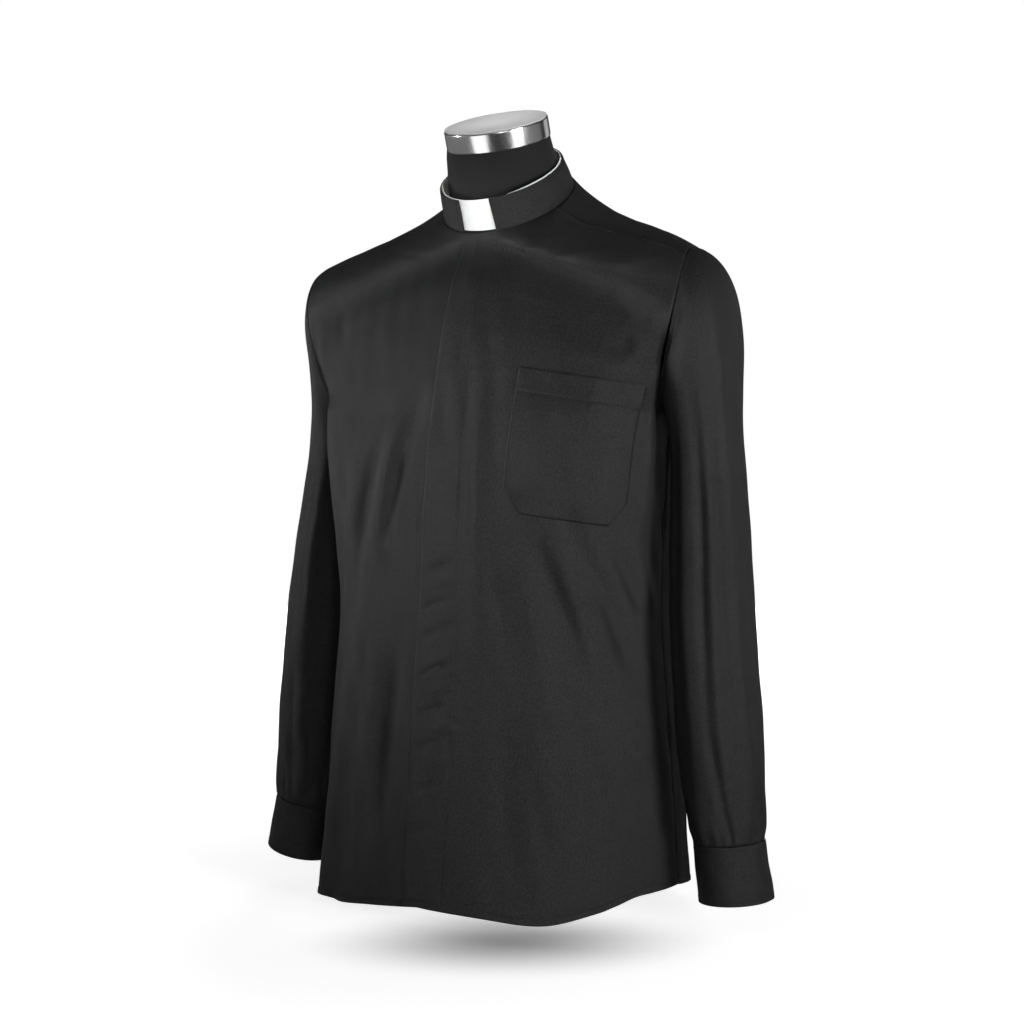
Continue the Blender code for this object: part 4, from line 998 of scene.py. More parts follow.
pocket = cloth("pocket_on_chest", points, normals, uv, ["chest_pocket"])

# %% Stitches of the pocket
EDGE_INSET = 0.0018
POCKET_ROW_POINTS = 60
across_in, down_in = EDGE_INSET / POCKET_TOP_WIDTH, EDGE_INSET / POCKET_HEIGHT
corners = [(0, across_in), (mitre_at, across_in), (1 - down_in, across_in), (1 - down_in, 1 - across_in),
           (mitre_at, 1 - across_in), (0, 1 - across_in)]


def pocket_row(first, last, stand=POCKET_STAND + 0.0002):
    """A stitch row on the pocket from one place to another, each given by its shares down and across."""
    share = np.linspace(0, 1, POCKET_ROW_POINTS)
    d = first[0] + (last[0] - first[0]) * share
    a = first[1] + (last[1] - first[1]) * share
    stitch_row(*pocket_points(d, a, np.full(POCKET_ROW_POINTS, stand)))


for first, last in zip(corners, corners[1:]):
    pocket_row(first, last)
pocket_row((hem_at, across_in), (hem_at, 1 - across_in), POCKET_STAND + 0.0011)

# %% [markdown]
# ## The back
#
# The back is one wide panel from the yoke to a rounded tail. Nobody sees its folds in the front view, but
# a shirt turned round shows them, so it has long soft ones of its own.

# %% Back
BACK_MESH_LINES = 160
BACK_COLUMNS = 90
SEAM_STITCH = 0.0045
SIDE_ROW = slice(4, 142)
line = line_steps(BACK_LINES, BACK_MESH_LINES, back_left_cut)
share = np.linspace(0, 1, BACK_COLUMNS)


def back_half(cut, side):
    """One half of the back from its middle to the side seam."""
    reach = np.interp(line, np.arange(BACK_LINES), cut.lengths)
    along = reach[:, None] * share[None]
    points, normals = on_cut(cut, side, line[:, None] + 0 * along, along)
    above = np.interp(line, np.arange(BACK_LINES), cut.rise)[:, None] + 0 * along
    signed = side * along
    relief = fold_height(BACK_FOLDS + FINE_BACK_FOLDS, signed, points[..., 2]) + slack(signed + 0.4, points[..., 2])
    relief = relief + hem_band(above) + seam_dip(reach[:, None] - along)
    return points + normals * relief[..., None], normals, np.stack([signed, above], -1)


right, left = back_half(back_right_cut, -1), back_half(back_left_cut, 1)
points, normals, uv = (np.concatenate([a[:, ::-1], b[:, 1:]], axis=1) for a, b in zip(right, left))
back = cloth("back_panel", points, normals, uv, ["back"])
hem_index = int(np.argmin(np.abs(uv[:, BACK_COLUMNS, 1] - HEM_BAND)))
stitch_row(points[hem_index], normals[hem_index])
for edge, inner in ((0, 1), (-1, -2)):
    direction = unit(points[:, inner] - points[:, edge])
    stitch_row((points[:, edge] + direction * SEAM_STITCH)[SIDE_ROW], normals[SIDE_ROW, edge])

# %% [markdown]
# ## The yoke
#
# The yoke covers the shoulders in a double layer, from a seam a little in front of them to one across the
# shoulder blades. Both seams are topstitched. It is made as two halves that meet behind the neck.

# %% Yoke
YOKE_LIFT = 0.0004
YOKE_SLACK = 0.6
ON_MIDDLE = 0.0005
points = yoke_cut.points + yoke_cut.normals * YOKE_LIFT
reach = yoke_cut.lengths[:, None] * np.linspace(0, 1, points.shape[1])[None]
up = yoke_cut.rise[:, None] + 0 * reach
seam = seam_dip(up) + seam_dip(yoke_cut.rise[-1] - up) + seam_dip(yoke_cut.lengths[:, None] - reach)
points = points + yoke_cut.normals * (seam + YOKE_SLACK * slack(reach, up))[..., None]
behind = np.flatnonzero(np.abs(points[:, 0, 0]) < ON_MIDDLE)
points[behind, 0, 0] = 0
mirrored = points, points * [-1, 1, 1]
count = points.shape[0] * points.shape[1]
faces = np.concatenate([grid_faces(*points.shape[:2]), grid_faces(*points.shape[:2], start=count)[:, ::-1]])
both = worn(np.concatenate([half.reshape(-1, 3) for half in mirrored]))
uv = np.concatenate([np.stack([side * reach, up], -1).reshape(-1, 2) for side in (1, -1)])
outward = np.concatenate([yoke_cut.normals.reshape(-1, 3), (yoke_cut.normals * [-1, 1, 1]).reshape(-1, 3)])
mesh = mesh_of("yoke_shoulders", both, faces, uv, outward)
mend(mesh, 0.00001, turn=False)
yoke = piece_of("yoke_shoulders", mesh, black_cloth, ["yoke"], WALL)
print("yoke area", round(2 * area_of(points), 4))

# %% Stitches of the yoke
for side in (1, -1):
    for index, toward in ((0, 1), (-1, -2)):
        edge_line = points[index] + unit(points[toward] - points[index]) * EDGE_INSET
        stitch_row(edge_line[2:-1] * [side, 1, 1], yoke_cut.normals[index][2:-1] * [side, 1, 1])

# %% [markdown]
# ## The sleeves
#
# A sleeve is a tube whose head is sewn into the armhole. Empty sleeves hang flat-sided and fall into upright
# folds, and just above the cuff the wider sleeve is gathered into it. The tube is rings of points: the head
# turns from the armhole's slanting oval into level ovals by a curve that leaves the one and arrives at the
# other in the right directions. The folds are a table again, by angle round the sleeve. The near sleeve is
# a little squarer in its upper part than an oval, and both are tucked in behind the chest beside the armpit.

# %% Sleeve sizes
SleeveSection = namedtuple(
    "SleeveSection", "z left_x right_x left_y right_y left_half right_half half_depth left_tilt right_tilt"
)
SLEEVE_SECTIONS = [
    SleeveSection(0.024, 0.2670, 0.2620, -0.0050, -0.0050, 0.0345, 0.0335, 0.0365, 0.06, 0.25),
    SleeveSection(0.082, 0.2590, 0.2510, -0.0050, -0.0050, 0.0340, 0.0330, 0.0360, 0.06, 0.25),
    SleeveSection(0.096, 0.2572, 0.2480, -0.0048, -0.0045, 0.0366, 0.0346, 0.0396, 0.06, 0.22),
    SleeveSection(0.180, 0.2486, 0.2430, -0.0020, 0.0000, 0.0414, 0.0362, 0.0485, 0.04, 0.10),
    SleeveSection(0.300, 0.2375, 0.2325, 0.0030, 0.0050, 0.0400, 0.0345, 0.0520, 0.00, 0.00),
    SleeveSection(0.450, 0.2318, 0.2270, 0.0050, 0.0290, 0.0348, 0.0315, 0.0490, 0.00, 0.00),
]
HEAD_FULLNESS = {1: 0.82, -1: 0.25}
HEAD_LEAVES = (0.40, -0.45, -0.808)
HEAD_TOP_ADDS = (0.50, 0.0, 0.52)
HEAD_ASIDE = (1.0, 0.6, -0.447)
HEAD_CLEAR = 0.0006
HEAD_ARRIVES = 1.5
CUFF_HANG = {1: 0.003, -1: -0.003}
HANG_REACH = 0.25
HEAD_SHARE = 0.42
SLEEVE_LOW = 0.0817
CUFF_TOP = 0.0812
CUFF_LOW = 0.0235
CUFF_FLARE = 0.0012
SleeveFold = namedtuple("SleeveFold", "low_deg low_z high_deg high_z width_deg height")
SLEEVE_FOLDS = {
    1: [
        SleeveFold(62, 0.16, 66, 0.52, 10, -0.0018),
        SleeveFold(80, 0.12, 86, 0.58, 9, 0.0021),
        SleeveFold(103, 0.14, 104, 0.55, 8, -0.0024),
        SleeveFold(121, 0.10, 119, 0.58, 8, 0.0024),
        SleeveFold(141, 0.15, 137, 0.53, 8, -0.0024),
        SleeveFold(160, 0.10, 156, 0.58, 9, 0.0022),
        SleeveFold(118, 0.084, 104, 0.20, 7, -0.0028),
        SleeveFold(104, 0.090, 110, 0.17, 7, 0.0012),
        SleeveFold(152, 0.088, 146, 0.19, 7, 0.0014),
        SleeveFold(190, 0.15, 184, 0.50, 12, -0.0014),
        SleeveFold(212, 0.12, 208, 0.54, 11, 0.0011),
        SleeveFold(236, 0.20, 230, 0.52, 11, -0.0014),
        SleeveFold(266, 0.12, 260, 0.55, 13, 0.0014),
        SleeveFold(300, 0.16, 296, 0.50, 14, -0.0011),
    ],
    -1: [
        SleeveFold(52, 0.10, 60, 0.47, 12, -0.0012),
        SleeveFold(76, 0.12, 84, 0.52, 11, 0.0008),
        SleeveFold(102, 0.10, 104, 0.50, 11, -0.0009),
        SleeveFold(128, 0.14, 124, 0.54, 12, 0.0008),
        SleeveFold(152, 0.12, 150, 0.50, 12, -0.0010),
        SleeveFold(86, 0.090, 92, 0.24, 9, -0.0028),
        SleeveFold(64, 0.088, 72, 0.20, 7, 0.0018),
        SleeveFold(186, 0.15, 182, 0.52, 14, 0.0016),
        SleeveFold(220, 0.12, 216, 0.48, 12, -0.0018),
        SleeveFold(250, 0.12, 246, 0.54, 13, 0.0018),
        SleeveFold(290, 0.16, 288, 0.50, 14, -0.0014),
    ],
}
TUCK_IN = 0.0055
TUCK_IN_DEG = 84
TUCK_IN_WIDTH_DEG = 26
TUCK_IN_AT = 0.007
TUCK_IN_REACH = 0.007
TUCKS = 5
TUCK_DEPTH = 0.0019
TUCK_REACH = 0.055
FINE_DEPTH = 0.0026
FINE_TUCKS = 17
SLEEVE_RADIUS = 0.035
SQUARE_FROM, SQUARE_OVER = 0.10, 0.30
SQUARE_POWER = 0.22
SQUARE_NARROWER = 0.07


def squared(wave, share):
    """A sine or cosine with fuller corners: its size to a power that falls below 1 with the share."""
    return np.sign(wave) * np.abs(wave) ** (1 - SQUARE_POWER * share)


def sleeve_section(side, z, angle, out=0.0):
    """An oval by angle from the side that faces the body, towards the front; tilted, and hung by its height."""
    hand = "left" if side > 0 else "right"
    z = np.asarray(z, float)
    square = soft_step((z - SQUARE_FROM) / SQUARE_OVER) * (side > 0)
    half_width = column(SLEEVE_SECTIONS, "z", hand + "_half", z) * (1 - SQUARE_NARROWER * square) + out
    half_depth = column(SLEEVE_SECTIONS, "z", "half_depth", z) * (1 - SQUARE_NARROWER * square) + out
    aside = -half_width * squared(np.cos(angle), square)
    x = column(SLEEVE_SECTIONS, "z", hand + "_x", z) + aside
    y = column(SLEEVE_SECTIONS, "z", hand + "_y", z) - half_depth * squared(np.sin(angle), square)
    tilt = column(SLEEVE_SECTIONS, "z", hand + "_tilt", z)
    hang = CUFF_HANG[side] * np.clip(1 - (z - SLEEVE_LOW) / HANG_REACH, 0, 1)
    return np.stack([x, y, z + tilt * aside + hang], -1)


def sleeve_head(angle):
    """The sleeve's edge just outside the armhole, and the direction in which the cloth leaves it."""
    top = ((1 - np.cos(angle)) / 2) ** 2
    low_x, low_y, low_z = HEAD_LEAVES
    add_x, add_y, add_z = HEAD_TOP_ADDS
    leave = unit(np.stack([low_x + add_x * top, (low_y + add_y * top) * np.sin(angle), low_z + add_z * top], -1))
    aside_x, aside_y, aside_z = HEAD_ASIDE
    aside = unit(np.stack([aside_x + 0 * angle, aside_y * np.sin(angle), aside_z * top], -1))
    return armhole(angle) + aside * (HEAD_CLEAR * (1 - 0.5 * top))[..., None], leave


def near_cuff_at(z):
    """1 at the sleeve's lower end, falling to 0 where the gathers end."""
    return np.clip(1 - (z - SLEEVE_LOW) / TUCK_REACH, 0, 1)


def sleeve_relief(side, angle, z):
    """Upright folds by angle and height, gathers above the cuff and the slow unevenness of the cloth."""
    degrees = np.degrees(angle)
    total = np.zeros_like(z)
    for fold in SLEEVE_FOLDS[side]:
        t = (z - fold.low_z) / (fold.high_z - fold.low_z)
        middle = fold.low_deg + (fold.high_deg - fold.low_deg) * t
        away = (degrees - middle + 180) % 360 - 180
        total += fold.height * np.sin(math.pi * np.clip(t, 0, 1)) ** 0.7 * np.exp(-((away / fold.width_deg) ** 2))
    near_cuff = near_cuff_at(z)
    gathers = TUCK_DEPTH * np.sin(math.pi * near_cuff) * np.cos(TUCKS * angle)
    fine = FINE_DEPTH * near_cuff**3 * np.sin(math.pi * near_cuff) * np.sin(FINE_TUCKS * angle + 2 * np.sin(3 * angle))
    return total + gathers + fine + slack(SLEEVE_RADIUS * angle, z + 0.3 * side)


def front_tuck(angle, length):
    """The sleeve tucked in behind the chest in front of the armpit, by angle and distance from the armhole."""
    aside = (np.degrees(angle) - TUCK_IN_DEG) / TUCK_IN_WIDTH_DEG
    return -TUCK_IN * np.exp(-(aside**2) - ((length - TUCK_IN_AT) / TUCK_IN_REACH) ** 2)


def sleeve_surface(side, down, angle):
    """Points of a sleeve, without folds: the head's curve for the first share, then level ovals to the cuff."""
    top_z = SLEEVE_SECTIONS[-1].z
    start, leave = sleeve_head(angle)
    end = sleeve_section(side, top_z + 0 * angle, angle)
    below = sleeve_section(side, top_z - 0.01 + 0 * angle, angle)
    chord = np.linalg.norm(end - start, axis=-1, keepdims=True)
    t = np.clip(down / HEAD_SHARE, 0, 1)[..., None]
    head = start * (1 + 2 * t) * (1 - t) ** 2 + leave * chord * HEAD_FULLNESS[side] * t * (1 - t) ** 2
    head = head + end * t**2 * (3 - 2 * t) - unit(below - end) * chord * HEAD_ARRIVES * t**2 * (1 - t)
    run = np.clip((down - HEAD_SHARE) / (1 - HEAD_SHARE), 0, 1)
    arm = sleeve_section(side, top_z + (SLEEVE_LOW - top_z) * run, angle)
    return np.where((down < HEAD_SHARE)[..., None], head, arm)


# %% Sleeves
SLEEVE_LINES = 170
SLEEVE_COLUMNS = 121
RELIEF_STARTS_OVER = 0.05
HEAD_ROW_LINE = 3
HEAD_ROW = slice(18, 104)
down, angle = np.meshgrid(np.linspace(0, 1, SLEEVE_LINES), np.linspace(0, TURN, SLEEVE_COLUMNS), indexing="ij")
for side, hand in ((1, "left"), (-1, "right")):
    points = sleeve_surface(side, down, angle)
    middle = points[:, :-1].mean(axis=1, keepdims=True)
    normals = normals_of(points, points - middle)
    normals[:, 0] = normals[:, -1] = unit(normals[:, 0] + normals[:, -1])
    round_way = np.linalg.norm(np.diff(points, axis=1), axis=2).mean()
    length = np.concatenate([[0], np.cumsum(np.linalg.norm(np.diff(points, axis=0), axis=2).mean(axis=1))])
    relief = sleeve_relief(side, angle, points[..., 2]) * soft_step(length / RELIEF_STARTS_OVER)[:, None]
    relief = relief + seam_dip(length)[:, None] + front_tuck(angle, length[:, None])
    points = (points + normals * relief[..., None]) * [side, 1, 1]
    normals = normals * [side, 1, 1]
    uv = np.stack([round_way * np.arange(SLEEVE_COLUMNS)[None] + 0 * down, -length[:, None] + 0 * angle], -1)
    sleeve = cloth(f"sleeve_{hand}_arm", points, normals, uv, [f"sleeve_{hand}"])
    stitch_row(points[HEAD_ROW_LINE, HEAD_ROW], normals[HEAD_ROW_LINE, HEAD_ROW])

# %% [markdown]
# ## Cuffs, their buttons and the sleeve plackets
#
# A barrel cuff is a stiff strip round the wrist whose ends overlap on the outer back, held by a button. Above
# it the sleeve is slit, and a narrow bound strip with a pointed top lies along the slit.

# %% Cuffs
CUFF_START_DEG = 235
CUFF_OVERLAP_DEG = 28
CUFF_STEP = STIFF_WALL + 0.0003
CUFF_ROUND = 0.245
CUFF_HEIGHT = 0.058


def cuff_points(side, turn, down):
    """The wrist oval by turn, past a full round, one layer further out where the ends overlap."""
    overlap = CUFF_OVERLAP_DEG / 360
    angle = np.radians(CUFF_START_DEG) + TURN * turn * (1 + overlap)
    lap = soft_step((turn * (1 + overlap) - 1 + 2 * overlap) / overlap)
    out = CUFF_STEP * lap + CUFF_FLARE * down
    z = CUFF_TOP + (CUFF_LOW - CUFF_TOP) * down
    return sleeve_section(side, z + 0 * angle, angle, out) * [side, 1, 1]


down, turn = np.meshgrid(np.linspace(0, 1, 34), np.linspace(0, 1, 180), indexing="ij")
for side, hand in ((1, "left"), (-1, "right")):
    points = cuff_points(side, turn, down)
    normals = normals_of(points, points - points.mean(axis=1, keepdims=True))
    give = 0.0004 * np.sin(TURN * (3.1 * turn + 0.6 * down)) + 0.0003 * np.sin(TURN * (7.3 * turn - 1.2 * down))
    points = points + normals * (give * np.sin(math.pi * down))[..., None]
    uv = np.stack([turn * CUFF_ROUND, -down * CUFF_HEIGHT], -1)
    cuff = cloth(f"cuff_{hand}_band", points, normals, uv, [f"cuff_{hand}"], wall=STIFF_WALL, rounding=0.0005)
    for index in (3, -4):
        stitch_row(points[index, 4:-4], normals[index, 4:-4], STIFF_WALL / 2)
    for index in (4, -5):
        stitch_row(points[3:-3, index], normals[3:-3, index], STIFF_WALL / 2)

# %% Sleeve plackets
SLIT_DEG = 248
SLIT_HALF_WIDTH = 0.011
SLIT_LOW = 0.0845
SLIT_TOP = 0.205
SLIT_POINT = 0.010
SLIT_STAND = 0.0020
INSIDE_SLEEVE = [0.2545, 0, 0.15]
share, across = np.meshgrid(np.linspace(0, 1, 60), np.linspace(-1, 1, 15), indexing="ij")
for side, hand in ((1, "left"), (-1, "right")):
    top = SLIT_TOP - SLIT_POINT * np.abs(across)
    z = SLIT_LOW + (top - SLIT_LOW) * share
    angle = math.radians(SLIT_DEG) + across * SLIT_HALF_WIDTH / SLEEVE_RADIUS
    points = sleeve_section(side, z, angle)
    normals = normals_of(points, points - INSIDE_SLEEVE)
    gathered = TUCK_DEPTH * np.sin(math.pi * near_cuff_at(z))
    stand = SLIT_STAND + gathered + np.clip(sleeve_relief(side, angle, z), 0, None)
    points = (points + normals * stand[..., None]) * [side, 1, 1]
    normals = normals * [side, 1, 1]
    uv = np.stack([across * SLIT_HALF_WIDTH, z], -1)
    strip = cloth(f"placket_{hand}_strip", points, normals, uv, [f"sleeve_placket_{hand}"], rounding=0.0003)
    for index in (1, -2):
        stitch_row(points[1:-3, index], normals[1:-3, index])

# %% [markdown]
# ## Buttons
#
# A shirt button is a small turned disc: a raised rim, a dished middle and four holes with crossed thread. A
# profile is spun round the axis, and the holes are small dark wells let into the dish.

# %% Cuff buttons
BUTTON_RADIUS = 0.0055
BUTTON_THICKNESS = 0.0022
BUTTON_DISH = 0.55
BUTTON_PROFILE = [
    (0.0, BUTTON_DISH), (0.42, BUTTON_DISH), (0.62, 0.62), (0.74, 0.90), (0.86, 1.00), (0.96, 0.88), (1.0, 0.60),
    (0.98, 0.20), (0.90, 0.0), (0.0, 0.0),
]
HOLE_PLACE = 0.26
HOLE_RADIUS = 0.00055
HOLE_PROFILE = [(0, 0), (1, 0), (1, 1), (0.8, 1.3), (0, 1.3)]
HOLE_HEIGHT = 0.00012
HOLE_SUNK = 0.00008
HOLE_SEGMENTS = 12
CROSSING_LIFT = 0.00020
CROSSING_POINTS = 8
CROSSING_PITCH = 0.0018


def spun(profile, radius, height, segments=40):
    """A profile of (share of radius, share of height) turned round the z axis; its ends lie on the axis."""
    turn = np.linspace(0, TURN, segments + 1)
    across, up = (np.array(values) for values in zip(*profile))
    x = across[:, None] * radius * np.cos(turn)[None]
    y = across[:, None] * radius * np.sin(turn)[None]
    return np.stack([x, y, up[:, None] * height + 0 * x], -1)


def spun_mesh(parts, name):
    """Several spun grids as one closed mesh, with doubles merged and faces turned outwards."""
    faces, start = [], 0
    for grid in parts:
        faces.append(grid_faces(*grid.shape[:2], start=start))
        start += grid.shape[0] * grid.shape[1]
    mesh = mesh_of(name, np.concatenate([grid.reshape(-1, 3) for grid in parts]), np.concatenate(faces))
    mend(mesh, 0.0000005, thin=True)
    return mesh


def placed(grid, place, normal):
    """A grid in the button's own frame moved so that its axis lies along normal."""
    turn = Vector((0, 0, 1)).rotation_difference(Vector(normal.tolist())).to_matrix()
    return grid @ np.array(turn).T + place


for side, hand in ((1, "left"), (-1, "right")):
    low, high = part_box(f"cuff_button_{hand}")
    place = (np.array(low) + np.array(high)) / 2
    turn = 1 - 0.5 * CUFF_OVERLAP_DEG / 360
    corners = ((turn, 0.5), (turn + 0.01, 0.5), (turn, 0.6))
    middle, beside, under = (cuff_points(side, np.float64(a), np.float64(b)) for a, b in corners)
    normal = unit(np.cross(beside - middle, under - middle))
    normal = normal * np.sign(normal[1] + 0.2 * side * normal[0])
    base = place - normal * BUTTON_THICKNESS / 2
    disc = placed(spun(BUTTON_PROFILE, BUTTON_RADIUS, BUTTON_THICKNESS), base, normal)
    piece_of(f"button_{hand}_disc", spun_mesh([disc], "button"), button_gloss, [f"cuff_button_{hand}"])
    dish = BUTTON_THICKNESS * BUTTON_DISH
    spots = [(a * HOLE_PLACE * BUTTON_RADIUS, b * HOLE_PLACE * BUTTON_RADIUS) for a in (-1, 1) for b in (-1, 1)]
    well = spun(HOLE_PROFILE, HOLE_RADIUS, HOLE_HEIGHT, HOLE_SEGMENTS)
    wells = [placed(well + [x, y, dish - HOLE_SUNK], base, normal) for x, y in spots]
    crossing = np.array([[spots[0], spots[3]], [spots[1], spots[2]]])
    piece_of(f"button_{hand}_holes", spun_mesh(wells, "holes"), black_thread)
    for first, last in crossing:
        height = np.full((CROSSING_POINTS, 1), dish + CROSSING_LIFT)
        path = placed(np.concatenate([np.linspace(first, last, CROSSING_POINTS), height], axis=1), base, normal)
        stitch_row(path, np.tile(normal, (CROSSING_POINTS, 1)), 0.0, CROSSING_PITCH)

# %% [markdown]
# ## The collar
#
# The band collar is a stiff strip that stands round the neck and leaves a square gap in front. A white
# inner collar fills the gap and shows as a thin edge above the band. Both are rings between a lower and an
# upper tilted oval.

# %% Collar band and white inner collar
CollarEdge = namedtuple("CollarEdge", "up half_width half_depth centre_y front_z slope")
COLLAR_EDGES = [
    CollarEdge(0.0, 0.0697, 0.0606, 0.0069, 0.6945, 0.6254),
    CollarEdge(1.0, 0.0648, 0.0590, -0.0090, 0.7262, 0.570),
]
COLLAR_GAP = 0.0385
INSERT_INSET = STIFF_WALL / 2 + WALL / 2 + 0.0006
INSERT_LOW = 0.06
INSERT_RISE = 0.0022
INSERT_FRONT_RISE = 0.0004
INSERT_DIP = 0.0016
INSERT_DIP_AT = 0.43
INSERT_DIP_WIDTH = 0.13
INSERT_COLUMNS = 241
INSERT_RADIUS = 0.064
BAND_COLUMNS = 220
BAND_RADIUS = 0.067
BAND_GIVE = 0.0003
COLLAR_LINES = 24
COLLAR_HEIGHT = 0.032


def collar_points(up, angle, inset, rise):
    """A point of the ring: sine across and cosine forward on an oval that shrinks and shifts with its height."""
    half_width = column(COLLAR_EDGES, "up", "half_width", up) - inset
    half_depth = column(COLLAR_EDGES, "up", "half_depth", up) - inset
    y = column(COLLAR_EDGES, "up", "centre_y", up) - half_depth * np.cos(angle)
    front = column(COLLAR_EDGES, "up", "centre_y", up) - half_depth
    z = column(COLLAR_EDGES, "up", "front_z", up) + column(COLLAR_EDGES, "up", "slope", up) * (y - front)
    return np.stack([half_width * np.sin(angle), y, z + rise * up], -1)


half_gap = COLLAR_GAP / 2 / COLLAR_EDGES[0].half_width
angle = np.linspace(half_gap, TURN - half_gap, BAND_COLUMNS)
up, angle = np.meshgrid(np.linspace(0, 1, COLLAR_LINES), angle, indexing="ij")
points = collar_points(up, angle, 0, 0)
normals = normals_of(points, points * [1, 1, 0] - [0, 0.002, 0])
band_give = BAND_GIVE * np.sin(TURN * (angle * 0.9 + 0.7 * up)) * np.sin(math.pi * up)
points = points + normals * band_give[..., None]
uv = np.stack([angle * BAND_RADIUS, up * COLLAR_HEIGHT], -1)
band = cloth("collar_band_ring", points, normals, uv, ["collar_band"], wall=STIFF_WALL, rounding=0.0005)
for index in (2, -3):
    stitch_row(points[index, 2:-2], normals[index, 2:-2], STIFF_WALL / 2)
for index in (2, -3):
    stitch_row(points[2:-2, index], normals[2:-2, index], STIFF_WALL / 2)

angle = np.linspace(-math.pi, math.pi, INSERT_COLUMNS)
up, angle = np.meshgrid(np.linspace(INSERT_LOW, 1, COLLAR_LINES), angle, indexing="ij")
beside = np.clip((1 - np.cos(angle)) / 0.5, 0, 1)
dip = INSERT_DIP * np.exp(-(((angle - INSERT_DIP_AT) / INSERT_DIP_WIDTH) ** 2))
rise = INSERT_FRONT_RISE + (INSERT_RISE - INSERT_FRONT_RISE) * beside - dip
points = collar_points(up, angle, INSERT_INSET, rise)
normals = normals_of(points, points * [1, 1, 0])
uv = np.stack([angle * INSERT_RADIUS, up * COLLAR_HEIGHT], -1)
insert = cloth("collar_insert_ring", points, normals, uv, ["collar_insert"], white_cloth, WALL, 0.0004)

# %% All the sewing in one mesh
sewn("stitching")

# %% [markdown]
# ## The dress form
#
# The form is a smooth padded body under tight jersey. Its solid has few faces, which is enough for weight and
# contact, but its neck shows straight edges close up. A copy with its loose triangles merged and a Subdivision
# Surface rounds it off, and its neck is filled out a little to one side. The cap's ring and plate are turned
# parts, and get smooth copies with their rims kept sharp. Only the foot keeps its solid's own mesh.

# %% Dress form
NECK_FULLER = 0.0055
NECK_SIDE = (-0.866, -0.5)
NECK_MIDDLE_Y = -0.010
NECK_FROM_Z, NECK_OVER_Z = 0.70, 0.04
NECK_LESS, NECK_LESS_FROM_Z, NECK_LESS_OVER_Z = 0.45, 0.765, 0.02
NECK_ASIDE = 0.045


def full_neck(points):
    """The neck filled out towards the wearer's right and front: a soft step by height times one by side."""
    x, y, z = points.T
    aside = x * NECK_SIDE[0] + (y - NECK_MIDDLE_Y) * NECK_SIDE[1]
    less = 1 - NECK_LESS * soft_step((z - NECK_LESS_FROM_Z) / NECK_LESS_OVER_Z)
    by_height = soft_step((z - NECK_FROM_Z) / NECK_OVER_Z) * less
    out = NECK_FULLER * by_height * soft_step(aside / NECK_ASIDE)
    return points + out[:, None] * [*NECK_SIDE, 0]


def smooth_copy(node, name, finish, levels, reshape=None):
    """A copy of a solid, its doubles merged, its rims kept sharp and its sides rounded by subdivision."""
    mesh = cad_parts[node].data.copy()
    mesh.materials.clear()
    mend(mesh, 0.000005)
    work = bmesh.new()
    work.from_mesh(mesh)
    crease = work.edges.layers.float.get("crease_edge") or work.edges.layers.float.new("crease_edge")
    for edge in work.edges:
        sharp = edge.calc_face_angle(0.0) > RIM_ANGLE
        edge[crease], edge.smooth = float(sharp), not sharp
    for face in work.faces:
        face.smooth = True
    work.to_mesh(mesh)
    work.free()
    if reshape:
        places = np.empty(3 * len(mesh.vertices), np.float32)
        mesh.vertices.foreach_get("co", places)
        mesh.vertices.foreach_set("co", reshape(places.reshape(-1, 3)).astype(np.float32).ravel())
    piece = piece_of(name, mesh, finish, [node])
    rounder = piece.modifiers.new("Rounder", "SUBSURF")
    rounder.levels = rounder.render_levels = levels
    return piece


smooth_copy("form_torso", "dress_form_body", jersey, 1, full_neck)
smooth_copy("form_neck_cap", "neck_cap_ring", brushed_metal, 2)
smooth_copy("form_cap_top", "neck_cap_plate", cap_plate, 2)
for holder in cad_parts["form_base"].material_slots:
    holder.material = cap_plate


# %% [markdown]
# ## Studio
#
# The shirt stands on a pale floor in front of white. Broad light would wash the black cloth out, so most panels
# throw a narrowed beam, as through a grid, and one behind lights the shirt's back. The brushed ring needs
# something to mirror, so white cards that only mirrored rays see hang round the stage. The floor's glow is
# dimmed in an oval below the hem: a painted soft shadow of the shirt. The camera stands a third of a quarter turn to
# the wearer's left, slightly below the chest, with a long lens so that nothing bulges.

# %% Floor, lights and camera
FLOOR_HALF = 9.0
SHADE_PLACE = (0.10, -0.175)
SHADE_TURN = math.radians(30)
SHADE_ACROSS = 0.13
SHADE_AHEAD = 0.085
SHADE_DEPTH = 0.72
SHADE_SOFT = 1.66
GLOW_NEAR = 0.8
GLOW_FROM, GLOW_TO = 0.25, 0.75


